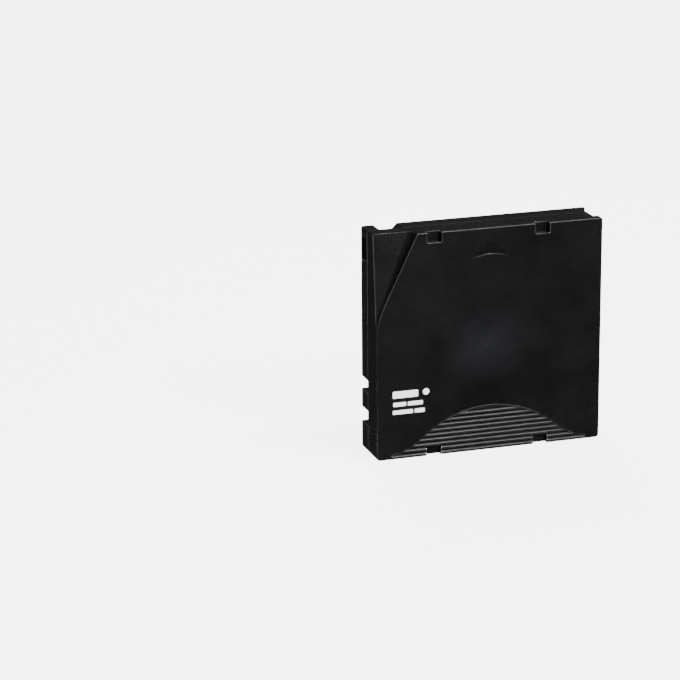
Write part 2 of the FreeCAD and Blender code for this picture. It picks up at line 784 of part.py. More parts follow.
def label_recess(name):
    """The shallow bare place on the rear end."""
    half = "label_height / 2"
    return block(name, ("-label_half", "label_half"), (f"-({half})", half), ("-cut_past", "label_inset"))


def upper_shell():
    """The upper moulding: outer face with guide recess, grip, notches and nick, bosses inside."""
    hollow = less(
        "upper_room",
        case_room("upper_space", UPPER_INSIDE, f"{PARTING} + cut_past"),
        shared(
            "guide_backing",
            guide_outline("guide_back_plan", f"{GUIDE_RADIUS} - guide_wall"),
            guide_slope("guide_back_ramp", "guide_wall"),
        ),
    )
    shell = less("upper_skin", case_block("upper_block", UPPER_FACE, PARTING, UPPER_FACE), hollow)
    inner = (UPPER_INSIDE, PARTING)
    adds = [shell]
    for name in SCREWS:
        x, z = screw_place(name)
        adds.append(rod_through(f"upper_boss_{name}", x, z, (UPPER_SUNK, PARTING), "boss_radius"))
    half = "post_side / 2"
    adds.append(block("brake_post", (f"{HUB_X} - {half}", f"{HUB_X} + {half}"), (UPPER_SUNK, POST_END),
                      (f"{HUB_Z} - {half}", f"{HUB_Z} + {half}")))
    ring = "(brake_spring_radius + brake_spring_wire / 2 + spring_ring_gap)"
    adds.append(pipe_ring("spring_ring", HUB_X, HUB_Z, (UPPER_SUNK, f"{UPPER_INSIDE} + spring_ring_height"),
                          ring, f"{ring} + spring_ring_wall"))
    rib = f"({FLANGE_RADIUS} + ring_rib_gap)"
    adds.append(pipe_ring("upper_ring_rib", HUB_X, HUB_Z, (UPPER_SUNK, f"{UPPER_INSIDE} + ring_rib_height"),
                          rib, f"{rib} + ring_rib_wall"))
    rail = (f"{GUIDE_FACE} - rail_wall", f"{RIGHT_INSIDE} + weld_depth")
    up = (RAIL_START, f"{FRONT_INSIDE} + weld_depth")
    adds.append(block("door_rail", rail, (UPPER_SUNK, RAIL_FACE), up))
    adds += door_guides("upper", inner)
    adds += pin_posts("upper", (UPPER_SUNK, f"{UPPER_INSIDE} + pin_post_height"))
    backing = f"({UPPER_FACE} + notch_depth + notch_backing)"
    adds += four_notches("back", "notch_backing", "(-side_wall / 2)", (UPPER_SUNK, backing))
    body = fused("upper_moulding", adds)

    cuts = [guide_recess(), grip_recess(), side_grip("left"), side_grip("right")]
    cuts.append(crescent("finger_nick", "nick_radius", NICK_APEX, "nick_chord", "nick_depth", "nick_fade"))
    ring, top = "(grip_radius + grip_crest / 2)", "(grip_apex + grip_crest / 2)"
    cuts.append(crescent("grip_scoop", ring, top, "scoop_chord", "scoop_depth", "scoop_fade"))
    cuts += four_notches("cut", "0", "cut_past", (f"{UPPER_FACE} - cut_past", f"{UPPER_FACE} + notch_depth"))
    for name in SCREWS:
        x, z = screw_place(name)
        tip = f"({LOWER_FACE} - screw_well - screw_length - screw_tip_gap)"
        deep = (tip, f"{PARTING} + cut_past")
        cuts.append(rod_through(f"pilot_{name}", x, z, deep, "screw_shank_radius + screw_hole_gap"))
    cuts += door_cuts("upper", (RAIL_FACE, f"{PARTING} + cut_past"))
    slot = "(pin_head_radius + pin_slot_gap)"
    across = (f"{GUIDE_FACE} - rail_wall - cut_past", f"{RIGHT} + cut_past")
    through = (UPPER_INSIDE, f"{RAIL_FACE} + weld_depth")
    cuts.append(block("pin_slot", across, through, (f"{PIN_Z} - {slot}", f"{PIN_Z} + {slot}")))
    cuts.append(label_recess("upper_label_place"))
    gate = (f"{UPPER_FACE} - cut_past", f"{UPPER_FACE} + gate_depth")
    cuts.append(rod_through("gate_mark", HUB_X, HUB_Z, gate, "gate_radius"))
    return labelled(less("upper_shell", body, fused("upper_cuts", cuts)), "upper_shell")


def end_notch():
    """The notch of the insertion end, with one slanted cheek."""
    body = new_body("end_notch")
    beyond = "case_length + cut_past"
    low = "(case_length - end_notch_depth)"
    slope = "end_notch_slant / end_notch_depth"
    corners = [
        (f"{LEFT} + end_notch_from", low),
        (f"{LEFT} + end_notch_to - end_notch_slant", low),
        (f"{LEFT} + end_notch_to + {slope}", beyond),
        (f"{LEFT} + end_notch_from", beyond),
    ]
    section = outline(sketch_on(body, "XZ_Plane", f"{PARTING} - cut_past"), corners)
    grow(body, section, "XZ_Plane", f"{LOWER_FACE} + 1 - ({PARTING} - 1)", 1)
    return body


def tag_ribs():
    """Two ribs with a slanted edge that carry the memory board."""
    ribs = []
    lean = f"((tag_height - {TAG_BACK}) - (tag_thickness / 2 + tag_gap) * sqrt(2))"
    for side, sign in (("left", "-1"), ("right", "1")):
        body = new_body(f"tag_rib_{side}")
        corners = [
            (LOWER_SUNK, "side_wall - weld_depth"),
            (LOWER_SUNK, f"{LOWER_INSIDE} + {lean}"),
            (LOWER_INSIDE, f"{LOWER_INSIDE} + {lean}"),
            (f"side_wall - {lean}", "side_wall"),
            (f"side_wall - {lean}", "side_wall - weld_depth"),
        ]
        edge = f"({TAG_X} + {sign} * (tag_length / 2 - tag_rib) - tag_rib / 2)"
        section = outline(sketch_on(body, "YZ_Plane", edge), corners)
        grow(body, section, "YZ_Plane", "tag_rib", 1)
        ribs.append(body)
    return ribs


def lower_shell():
    """The lower moulding: drive opening, screw wells, side notches, window of the tab."""
    outer = case_block("lower_block", PARTING, LOWER_FACE, LOWER_FACE)
    shell = less("lower_skin", outer, case_room("lower_space", f"{PARTING} - cut_past", LOWER_INSIDE))
    inner = (PARTING, LOWER_INSIDE)
    adds = [shell]
    for name in SCREWS:
        x, z = screw_place(name)
        adds.append(rod_through(f"lower_boss_{name}", x, z, (PARTING, LOWER_SUNK), "boss_radius"))
    rib = f"({FLANGE_RADIUS} + ring_rib_gap)"
    adds.append(pipe_ring("lower_ring_rib", HUB_X, HUB_Z, (f"{LOWER_INSIDE} - ring_rib_height", LOWER_SUNK),
                          rib, f"{rib} + ring_rib_wall"))
    seat = "(rim_radius + seat_ring_gap)"
    adds.append(pipe_ring("reel_seat", HUB_X, HUB_Z, (f"{LOWER_INSIDE} - seat_ring_height", LOWER_SUNK),
                          seat, f"{seat} + seat_ring_wall"))
    adds += door_guides("lower", inner)
    adds += pin_posts("lower", (f"{LOWER_INSIDE} - pin_post_height", LOWER_SUNK))
    back = "low_notch_depth + low_notch_backing"
    for name in ("rear", "mid"):
        up = (f"{name}_notch_from - low_notch_backing", f"{name}_notch_to + low_notch_backing")
        across = (f"{LEFT_INSIDE} - weld_depth", f"{LEFT} + {back}")
        adds.append(block(f"{name}_notch_back", across, (PARTING, LOWER_SUNK), up))
    across = (f"{LEFT_INSIDE} - weld_depth", f"{LEFT} + end_notch_to + low_notch_backing")
    up = ("case_length - end_notch_depth - low_notch_backing", f"{FRONT_INSIDE} + weld_depth")
    adds.append(block("end_notch_back", across, (PARTING, LOWER_SUNK), up))
    guide_low = f"({TAB_BACK} + tab_plate + slide_gap)"
    across = (f"{LEFT_INSIDE} - weld_depth", f"{WINDOW_X} + window_width + tab_margin")
    through = (f"{LOWER_INSIDE} - tab_guide_height", LOWER_SUNK)
    adds.append(block("tab_guide", across, through, (guide_low, f"{guide_low} + tab_guide_wall")))
    adds += tag_ribs()
    body = fused("lower_moulding", adds)

    outward = (f"{PARTING} - cut_past", f"{LOWER_FACE} + cut_past")
    plate = (f"{LOWER_INSIDE} - cut_past", f"{LOWER_FACE} + cut_past")
    cuts = [rod_through("drive_opening", HUB_X, HUB_Z, plate, "opening_radius")]
    bevel = turned(doc.addObject("Part::Cone", "opening_bevel"), V(1, 0, 0), -90)
    bind(bevel, Radius1="opening_radius - opening_chamfer", Radius2="opening_radius + opening_chamfer * 2",
         Height="opening_chamfer * 3")
    cuts.append(place(bevel, HUB_X, f"{LOWER_FACE} - opening_chamfer * 2", HUB_Z))
    for name in ("rear", "mid"):
        up = (f"{name}_notch_from", f"{name}_notch_to")
        cuts.append(block(f"{name}_notch", (f"{LEFT} - cut_past", f"{LEFT} + low_notch_depth"), outward, up))
    cuts.append(end_notch())
    through = (f"{PARTING} + slot_low", f"{PARTING} + slot_low + slot_height")
    cuts.append(block("grip_slot", (f"{LEFT} - cut_past", f"{LEFT} + slot_depth"), through,
                      (f"{SLOT_TOP} - slot_length", SLOT_TOP)))
    for name in SCREWS:
        x, z = screw_place(name)
        seat_level = f"({LOWER_FACE} - screw_well)"
        well = (seat_level, f"{LOWER_FACE} + cut_past")
        bore = (f"{PARTING} - cut_past", f"{seat_level} + weld_depth")
        cuts.append(rod_through(f"well_{name}", x, z, well, "screw_head_radius + screw_well_gap"))
        cuts.append(rod_through(f"through_{name}", x, z, bore, "screw_shank_radius + screw_well_gap"))
    cuts += door_cuts("lower", (f"{PARTING} - cut_past", LOWER_INSIDE))
    across = (f"{RIGHT} - corner_inset", f"{RIGHT} + cut_past")
    cuts.append(block("corner_step", across, outward, (OPENING_START, "case_length + cut_past")))
    cuts.append(block("tab_window", (WINDOW_X, f"{WINDOW_X} + window_width"),
                      (WINDOW_LOW, f"{WINDOW_LOW} + window_height"), ("-cut_past", "side_wall + weld_depth")))
    cuts.append(label_recess("lower_label_place"))
    return labelled(less("lower_shell", body, fused("lower_cuts", cuts)), "lower_shell")


# Reel

def ring_of_teeth(body, count, inner, length, levels, widths):
    """A ring of radial teeth; levels and widths are those of the root and of the tip."""
    section = outline(sketch_on(body, "YZ_Plane", inner), [
        (f"-({widths[0]}) / 2", levels[0]), (f"({widths[0]}) / 2", levels[0]),
        (f"({widths[1]}) / 2", levels[1]), (f"-({widths[1]}) / 2", levels[1]),
    ])
    tooth = grow(body, section, "YZ_Plane", length, 1)
    return around(body, tooth, count)


def reel_hub():
    """Hub, lower flange, bearing rim and both rings of teeth, one moulding."""
    body = on_reel(new_body("reel_hub"))
    bore = "(hub_radius - barrel_wall)"
    revolved(body, [
        ("0", FLOOR_INSIDE), (bore, FLOOR_INSIDE), (bore, HIGH_FLANGE_IN), ("hub_radius", HIGH_FLANGE_IN),
        ("hub_radius", LOW_FLANGE_IN), (FLANGE_RADIUS, LOW_FLANGE_IN), (FLANGE_RADIUS, LOW_FLANGE_OUT),
        ("rim_radius", LOW_FLANGE_OUT), ("rim_radius", RIM_END),
        ("rim_radius - rim_wall", RIM_END), ("rim_radius - rim_wall", LOW_FLANGE_OUT), ("0", LOW_FLANGE_OUT),
    ])
    drive_teeth = (f"{LOW_FLANGE_OUT} - tooth_root", f"{LOW_FLANGE_OUT} + tooth_height")
    ring_of_teeth(body, "tooth_count", "tooth_inner", "tooth_length",
                  drive_teeth, ("tooth_base", "tooth_tip"))
    brake_teeth = (f"{FLOOR_INSIDE} + tooth_root", HUB_TOOTH_TIP)
    ring_of_teeth(body, "brake_tooth_count", BRAKE_TOOTH_INNER, "brake_tooth_length",
                  brake_teeth, ("brake_tooth_base", "brake_tooth_tip"))
    above = sketch_on(body, "XY_Plane", f"{HUB_TOOTH_TIP} - cut_past")
    hole = circle(above, LEG_CIRCLE, "0", "leg_radius + leg_hole_gap")
    through = f"{LOW_FLANGE_OUT} + cut_past - ({HUB_TOOTH_TIP} - cut_past)"
    around(body, sink(body, hole, "XY_Plane", through, 1), "leg_count")
    return labelled(body, "reel_hub")


def upper_flange():
    """The upper flange, a flat ring on the end of the barrel."""
    body = on_reel(new_body("upper_flange"))
    inner = "(hub_radius - barrel_wall + weld_depth)"
    revolved(body, [
        (inner, HIGH_FLANGE_OUT), (FLANGE_RADIUS, HIGH_FLANGE_OUT),
        (FLANGE_RADIUS, HIGH_FLANGE_IN), (inner, HIGH_FLANGE_IN),
    ])
    return labelled(body, "upper_flange")


def clutch_plate():
    """The steel ring that the drive's magnet holds."""
    body = on_reel(new_body("clutch_plate"))
    under = f"({LOW_FLANGE_OUT} + plate_thickness)"
    revolved(body, [
        ("plate_bore", LOW_FLANGE_OUT), (PLATE_RADIUS, LOW_FLANGE_OUT), (PLATE_RADIUS, under),
        ("plate_bore", under),
    ])
    return labelled(body, "clutch_plate")


def cleaning_tape():
    """The wound tape between the flanges."""
    body = on_reel(new_body("cleaning_tape"))
    inner = "(hub_radius + pack_bore_gap)"
    revolved(body, [
        (inner, TAPE_HIGH), ("pack_radius", TAPE_HIGH), ("pack_radius", TAPE_LOW), (inner, TAPE_LOW),
    ])
    return labelled(body, "cleaning_tape")


def brake_button():
    """The toothed brake with the square socket that keeps it from turning."""
    body = on_reel(new_body("brake_button"))
    socket_top = f"({BRAKE_TOP} - socket_height)"
    revolved(body, [
        ("0", socket_top), ("socket_radius", socket_top), ("socket_radius", BRAKE_TOP),
        (BRAKE_RIM, BRAKE_TOP), (BRAKE_RIM, BRAKE_UNDER), ("0", BRAKE_UNDER),
    ])
    half = "(post_side / 2 + slide_gap)"
    square = outline(sketch_on(body, "XY_Plane", f"{socket_top} - cut_past"), [
        (f"-{half}", f"-{half}"), (half, f"-{half}"), (half, half), (f"-{half}", half),
    ])
    sink(body, square, "XY_Plane", f"{SOCKET_FLOOR} - ({socket_top} - cut_past)", 1)
    levels = (f"{BRAKE_UNDER} - tooth_root", f"{BRAKE_UNDER} + brake_tooth_height")
    ring_of_teeth(body, "brake_tooth_count", BRAKE_TOOTH_INNER, "brake_tooth_length",
                  levels, ("brake_tooth_base", "brake_tooth_tip"))
    return labelled(body, "brake_button")


def release_pad():
    """Three arms with legs that reach through the hub's floor, and a dome that meets the brake."""
    body = on_reel(new_body("release_pad"))
    dome = "pad_dome_radius"
    revolved(body, [
        ("0", f"{BRAKE_UNDER} + slide_gap"), (f"{dome} / 2", f"{BRAKE_UNDER} + slide_gap"),
        (dome, f"{PAD_TOP} - slide_gap"), (dome, PAD_UNDER), ("0", PAD_UNDER),
    ])
    arm = outline(sketch_on(body, "XY_Plane", PAD_TOP), [
        ("0", "-leg_radius"), (LEG_CIRCLE, "-leg_radius"), (f"{LEG_CIRCLE} + leg_radius", "0"),
        (LEG_CIRCLE, "leg_radius"), ("0", "leg_radius"),
    ], {1: ("leg_radius", "left"), 2: ("leg_radius", "left")})
    around(body, grow(body, arm, "XY_Plane", "pad_thickness", 1), "leg_count")
    leg = circle(sketch_on(body, "XY_Plane", f"{PAD_UNDER} - weld_depth"), LEG_CIRCLE, "0", "leg_radius")
    around(body, grow(body, leg, "XY_Plane", "leg_length + weld_depth", 1), "leg_count")
    return labelled(body, "release_pad")


def coil(name, turn_radius, wire, length, turns):
    """A coil spring about its own Z, of square wire, that starts at Z = 0."""
    helix = doc.addObject("Part::Helix", name + "_line")
    rise = f"(({length}) - ({wire}))"
    bind(helix, Pitch=f"{rise} / ({turns})", Height=rise, Radius=turn_radius)
    place(helix, "0", "0", f"({wire}) / 2")
    section = turned(doc.addObject("Part::RegularPolygon", name + "_section"), V(1, 0, 0), 90)
    section.Polygon = 4
    bind(section, Circumradius=f"({wire}) / 2")
    place(section, turn_radius, "0", f"({wire}) / 2")
    sweep = doc.addObject("Part::Sweep", name)
    sweep.Sections = [section]
    sweep.Spine = (helix, ["Edge1"])
    sweep.Solid = True
    sweep.Frenet = True
    return sweep


def brake_spring():
    """The coil that presses the brake on the hub."""
    spring = coil("brake_spring", "brake_spring_radius", "brake_spring_wire",
                  f"{BRAKE_TOP} - ({UPPER_INSIDE}) - end_gap * 4", "brake_spring_turns")
    turned(spring, V(1, 0, 0), -90)
    place(spring, HUB_X, f"{UPPER_INSIDE} + end_gap * 2", HUB_Z)
    return labelled(spring, "brake_spring")


# Leader pin and its tape

def on_pin(thing):
    """Stand an object, drawn about its own Z, on the leader pin's axis with its Z along +Y."""
    turned(thing, V(1, 0, 0), -90)
    return place(thing, PIN_X, "0", PIN_Z)


def leader_pin():
    """A steel pin with a head, a neck and a shoulder at each end."""
    body = on_pin(new_body("leader_pin"))
    end = "(pin_length / 2)"
    neck = f"({end} - pin_head)"
    shaft = f"({neck} - pin_neck)"
    revolved(body, [
        ("0", f"-{end}"), ("pin_head_radius", f"-{end}"), ("pin_head_radius", f"-{neck}"),
        ("pin_neck_radius", f"-{neck}"), ("pin_neck_radius", f"-{shaft}"), ("pin_shaft_radius", f"-{shaft}"),
        ("pin_shaft_radius", shaft), ("pin_neck_radius", shaft), ("pin_neck_radius", neck),
        ("pin_head_radius", neck), ("pin_head_radius", end), ("0", end),
    ])
    return labelled(body, "leader_pin")


def leader_clip():
    """A split sleeve that holds the tape on the pin."""
    half = "clip_length / 2"
    through = (f"{CLIP_MIDDLE} - {half}", f"{CLIP_MIDDLE} + {half}")
    sleeve = pipe_ring("clip_sleeve", PIN_X, PIN_Z, through, "pin_shaft_radius + end_gap", CLIP_RADIUS)
    past = (f"{through[0]} - cut_past", f"{through[1]} + cut_past")
    up = (f"{PIN_Z} - clip_slot / 2", f"{PIN_Z} + clip_slot / 2")
    slot = block("clip_slot_cut", (PIN_X, f"{PIN_X} + {CLIP_RADIUS} + cut_past"), past, up)
    return labelled(less("leader_clip", sleeve, slot), "leader_clip")


def leader_tape():
    """The free run of tape from the pack to the pin, flat and on edge."""
    run_x = f"({PIN_X} - {HUB_X})"
    run_z = f"({PIN_Z} - {HUB_Z})"
    span = f"sqrt({run_x} * {run_x} + {run_z} * {run_z})"
    rest = "(pack_radius + reel_gap + tape_thickness)"
    start = f"({CLIP_RADIUS} + end_gap)"
    lean = f"(asin({rest} / {span}) - atan({run_z} / {run_x}))"
    strip = turned(doc.addObject("Part::Box", "leader_tape"), V(0, 1, 0), 170)
    bind(strip, Length=f"sqrt({span} * {span} - {rest} * {rest}) - {start}", Width="tape_width")
    bind(strip, Height="tape_thickness", Placement__Rotation__Angle=f"180 deg + {lean}")
    place(strip, f"{PIN_X} - {start} * cos{lean}", TAPE_HIGH, f"{PIN_Z} + {start} * sin{lean}")
    return strip


def retainer(kind, level):
    """A bent square wire that straddles one head of the pin: two arms and a half turn."""
    body = new_body(f"pin_retainer_{kind}")
    back = f"({PIN_X} - retainer_back)"
    tip = f"({back} + retainer_arm)"
    inner, outer = f"({RETAINER_RADIUS} - retainer_wire)", f"({RETAINER_RADIUS} + retainer_wire)"
    corners = [
        (tip, f"{PIN_Z} - {outer}"), (tip, f"{PIN_Z} - {inner}"), (back, f"{PIN_Z} - {inner}"),
        (f"{back} - {inner}", PIN_Z), (back, f"{PIN_Z} + {inner}"), (tip, f"{PIN_Z} + {inner}"),
        (tip, f"{PIN_Z} + {outer}"), (back, f"{PIN_Z} + {outer}"), (f"{back} - {outer}", PIN_Z),
        (back, f"{PIN_Z} - {outer}"),
    ]
    arcs = {2: (inner, "right"), 3: (inner, "right"), 7: (outer, "left"), 8: (outer, "left")}
    section = outline(sketch_on(body, "XZ_Plane", f"{level} - retainer_wire"), corners, arcs)
    grow(body, section, "XZ_Plane", "retainer_wire * 2", 1)
    return labelled(body, f"pin_retainer_{kind}")


# Door

def access_door():
    """The sliding door: plate, nose at the insertion end, tail and peg for its spring."""
    body = new_body("access_door")
    shoulder = f"({DOOR_FRONT} - door_nose)"
    ramp = f"({shoulder} - ({DOOR_IN} - {DOOR_NOSE_IN}))"
    corners = [
        (DOOR_OUT, DOOR_REAR), (DOOR_OUT, f"{DOOR_FRONT} - door_round"),
        (f"{DOOR_OUT} - door_round", DOOR_FRONT), (DOOR_NOSE_IN, DOOR_FRONT),
        (DOOR_NOSE_IN, shoulder), (DOOR_IN, ramp), (DOOR_IN, DOOR_REAR),
    ]
    section = outline(sketch_on(body, "XZ_Plane", DOOR_HIGH), corners, {1: ("door_round", "left")})
    grow(body, section, "XZ_Plane", f"{DOOR_LOW} - ({DOOR_HIGH})", 1)
    half = "door_tail_height / 2"
    tail = outline(sketch_on(body, "XZ_Plane", f"{DOOR_MIDDLE} - {half}"), [
        (DOOR_NOSE_IN, DOOR_TAIL_END), (DOOR_OUT, DOOR_TAIL_END),
        (DOOR_OUT, f"{DOOR_REAR} + door_tail_lap"), (DOOR_IN, f"{DOOR_REAR} + door_tail_lap"),
        (DOOR_NOSE_IN, f"{DOOR_REAR} - door_tail_lap"),
    ])
    grow(body, tail, "XZ_Plane", "door_tail_height", 1)
    root = sketch_on(body, "XY_Plane", f"{DOOR_TAIL_END} + weld_depth")
    grow(body, circle(root, SPRING_X, DOOR_MIDDLE, "peg_radius"), "XY_Plane", "peg_length + weld_depth", -1)
    return labelled(body, "access_door")


def door_spring():
    """The coil that keeps the door shut."""
    spring = coil("door_spring", "door_spring_radius", "door_spring_wire",
                  f"{DOOR_TAIL_END} - {SEAT_TOP} - end_gap * 2", "door_spring_turns")
    place(spring, SPRING_X, DOOR_MIDDLE, f"{SEAT_TOP} + end_gap")
    return labelled(spring, "door_spring")


# Small parts

def write_protect_tab():
    """The sliding tab: a plate behind the wall and a grooved knob in the window."""
    knob_from = f"({WINDOW_X} + slide_gap)"
    knob = block("tab_knob", (knob_from, f"{knob_from} + tab_length"),
                 (f"{WINDOW_LOW} + slide_gap", f"{WINDOW_LOW} + window_height - slide_gap"),
                 ("tab_inset", f"{TAB_BACK} + weld_depth"))
    plate = block("tab_back_plate", (f"{knob_from} - tab_margin", f"{knob_from} + tab_length + tab_margin"),
                  (f"{WINDOW_LOW} - tab_side_margin", f"{WINDOW_LOW} + window_height + tab_top_margin"),
                  (TAB_BACK, f"{TAB_BACK} + tab_plate"))
    grooves = []
    for index in (1, 2, 3):
        start = f"({knob_from} + tab_length * {index} / 4 - tab_groove / 2)"
        grooves.append(block(f"tab_groove_{index}", (start, f"{start} + tab_groove"),
                             (WINDOW_LOW, f"{WINDOW_LOW} + window_height"),
                            ("-cut_past", "tab_inset + tab_groove")))
    whole = fused("tab_whole", [knob, plate])
    return labelled(less("write_protect_tab", whole, fused("tab_grooves", grooves)), "write_protect_tab")


def tag_board():
    """The memory board, leaning between the rear end and the lower face."""
    board = turned(doc.addObject("Part::Box", "memory_board"), V(1, 0, 0), 45)
    bind(board, Length="tag_length", Width="tag_width", Height="tag_thickness")
    shift = "sqrt(2) / 4"
    place(
        board, f"{TAG_X} - tag_length / 2",
        f"{TAG_BACK} - (tag_width - tag_thickness) * {shift}",
        f"tag_height - (tag_width + tag_thickness) * {shift}",
    )
    return labelled(board, "memory_board")


def tag_chip():
    """The chip on the board's inner side."""
    chip = turned(doc.addObject("Part::Box", "memory_chip"), V(1, 0, 0), 45)
    bind(chip, Length="chip_side", Width="chip_side", Height="chip_height")
    shift = "sqrt(2) / 4"
    place(
        chip, f"{TAG_X} - chip_side / 2",
        f"{TAG_BACK} - (chip_side + tag_thickness) * {shift}",
        f"tag_height - (chip_side - tag_thickness) * {shift}",
    )
    return labelled(chip, "memory_chip")


def case_screws():
    """Four equal screws with a crossed recess in the head."""
    screws = []
    seat = f"({LOWER_FACE} - screw_well)"
    top = f"({seat} + screw_head)"
    long, short = "screw_cross_length / 2", "screw_cross_width / 2"
    deep = (f"{top} - screw_cross_depth", f"{top} + cut_past")
    for name in SCREWS:
        x, z = screw_place(name)
        head = rod_through(f"screw_head_{name}", x, z, (seat, top), "screw_head_radius")
        down = (f"{seat} - screw_length", f"{seat} + weld_depth")
        shank = rod_through(f"screw_shank_{name}", x, z, down, "screw_shank_radius")
        bars = []
        for turn, wide, tall in (("across", long, short), ("up", short, long)):
            across, up = (f"{x} - {wide}", f"{x} + {wide}"), (f"{z} - {tall}", f"{z} + {tall}")
            bars.append(block(f"screw_bar_{name}_{turn}", across, deep, up))
        solid = fused(f"screw_body_{name}", [head, shank])
        screws.append(less(f"screw_{name}", solid, fused(f"screw_cross_{name}", bars)))
    group = doc.addObject("Part::Compound", "case_screws")
    group.Links = screws
    return labelled(group, "case_screws")


MAKERS = [
    upper_shell, lower_shell, reel_hub, upper_flange, clutch_plate, cleaning_tape, brake_button, brake_spring,
    release_pad, leader_pin, leader_clip, leader_tape, access_door, door_spring, write_protect_tab,
    tag_board, tag_chip, case_screws,
]


def main():
    """Build every sub-part, check it and write it."""
    parts = [make() for make in MAKERS]
    parts.append(retainer("upper", f"({UPPER_INSIDE} + pin_head - end_gap * 3)"))
    parts.append(retainer("lower", f"({LOWER_INSIDE} - pin_head + end_gap * 3)"))
    doc.recompute()
    failed = [item.Name for item in doc.Objects if {"Invalid", "Error"} & set(item.State)]
    if failed:
        raise RuntimeError(f"not built: {failed}")
    os.makedirs("parts", exist_ok=True)
    for part in parts:
        shape = part.Shape
        if shape.isNull() or not shape.isValid():
            raise RuntimeError(f"{part.Label} is not a valid shape")
        shape.exportStep(f"parts/{part.Label}.step")
        print(f"{part.Label}: {len(shape.Solids)} solids, {shape.Volume:.2f} mm3")


main()
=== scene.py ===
"""Looks of a tape cleaning cartridge that stands on its rear end.

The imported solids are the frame. This script dresses them with finishes of moulded
plastic, steel and coated film, adds the white print and the round-wire springs,
and sets up a pale studio with the camera of the reference view.
Lengths are metres, and sizes named in millimetres are turned by MM.
"""

import logging
import math
from dataclasses import dataclass
from enum import Enum

import bpy
from bpy.types import Material, Node, NodeSocket, NodeTree
from mathutils import Matrix, Vector


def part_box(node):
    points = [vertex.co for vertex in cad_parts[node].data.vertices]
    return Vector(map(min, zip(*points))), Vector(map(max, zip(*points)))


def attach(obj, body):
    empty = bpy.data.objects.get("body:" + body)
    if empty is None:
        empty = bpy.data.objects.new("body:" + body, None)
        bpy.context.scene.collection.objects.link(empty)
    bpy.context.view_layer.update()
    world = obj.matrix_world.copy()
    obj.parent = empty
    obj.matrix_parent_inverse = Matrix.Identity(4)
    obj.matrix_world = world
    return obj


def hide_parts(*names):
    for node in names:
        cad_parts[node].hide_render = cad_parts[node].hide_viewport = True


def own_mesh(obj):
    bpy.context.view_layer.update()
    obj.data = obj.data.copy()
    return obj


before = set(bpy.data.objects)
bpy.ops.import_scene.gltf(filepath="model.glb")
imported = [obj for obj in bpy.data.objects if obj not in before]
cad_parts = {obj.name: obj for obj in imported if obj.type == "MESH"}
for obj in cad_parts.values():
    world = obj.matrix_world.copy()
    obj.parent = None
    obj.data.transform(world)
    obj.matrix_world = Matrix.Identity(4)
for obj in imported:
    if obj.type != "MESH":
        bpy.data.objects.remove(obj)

MM = 0.001
# nearly all of a noise texture's values lie between these ends
NOISE_ENDS = {"From Min": 0.3, "From Max": 0.7}
# a wave texture multiplies its scale by this
WAVE_FACTOR = 20
# vertices closer than this are one, in metres
MERGE_GAP = 1e-7
LOG = logging.getLogger("cartridge")


class Half(Enum):
    """The two halves of the cartridge's thickness, by the word that names their nodes."""

    UPPER = "upper"
    LOWER = "lower"


def linear(colour: str) -> tuple[float, float, float, float]:
    """Turn an sRGB hex colour into linear values.

    Args:
        colour: Six hex digits, such as "1b1b1d".

    Returns:
        Red, green, blue and an alpha of one.
    """
    parts = [int(colour[at:at + 2], 16) / 255 for at in (0, 2, 4)]
    red, green, blue = (
        part / 12.92 if part <= 0.04045 else ((part + 0.055) / 1.055) ** 2.4 for part in parts
    )
    return red, green, blue, 1.0


def add_node(
    tree: NodeTree,
    kind: str,
    settings: dict[str, object] | None = None,
    values: dict[str | int, object] | None = None,
    links: dict[str | int, NodeSocket] | None = None,
) -> Node:
    """Add one shader node.

    Args:
        tree: The node tree that takes it.
        kind: The node's type, without the word ShaderNode.
        settings: Properties of the node itself.
        values: Values of its input sockets.
        links: Sockets of other nodes that feed its inputs.

    Returns:
        The new node.
    """
    node = tree.nodes.new("ShaderNode" + kind)
    for name, value in (settings or {}).items():
        setattr(node, name, value)
    for name, value in (values or {}).items():
        node.inputs[name].default_value = value
    for name, socket in (links or {}).items():
        tree.links.new(socket, node.inputs[name])
    return node


def blank_material(name: str) -> tuple[Material, NodeTree]:
    """Make a material without any node.

    Args:
        name: The material's name.

    Returns:
        The material and its empty node tree.
    """
    material = bpy.data.materials.new(name)
    material.use_nodes = True
    material.node_tree.nodes.clear()
    return material, material.node_tree


def add_patterned_surface(
    tree: NodeTree,
    colour: str,
    pattern: NodeSocket,
    shade: dict[str, float],
    relief: dict[str, float],
    coat: dict[str, float],
) -> None:
    """Add a surface whose tone and relief both follow one pattern.

    Args:
        tree: The material's node tree.
        colour: Six hex digits of the colour that the pattern darkens and brightens.
        pattern: The socket that carries the pattern.
        shade: The ends between which the pattern becomes a factor of the colour.
        relief: The strength and the height of its bumps.
        coat: The surface's IOR and roughness.
    """
    factor = add_node(tree, "MapRange", values=shade, links={"Value": pattern})
    tone = add_node(
        tree, "VectorMath", {"operation": "SCALE"}, {0: linear(colour)[:3]},
        {"Scale": factor.outputs["Result"]},
    )
    bumps = add_node(tree, "Bump", values=relief, links={"Height": pattern})
    surface = add_node(
        tree, "BsdfPrincipled", values=coat,
        links={"Base Color": tone.outputs["Vector"], "Normal": bumps.outputs["Normal"]},
    )
    add_node(tree, "OutputMaterial", links={"Surface": surface.outputs["BSDF"]})


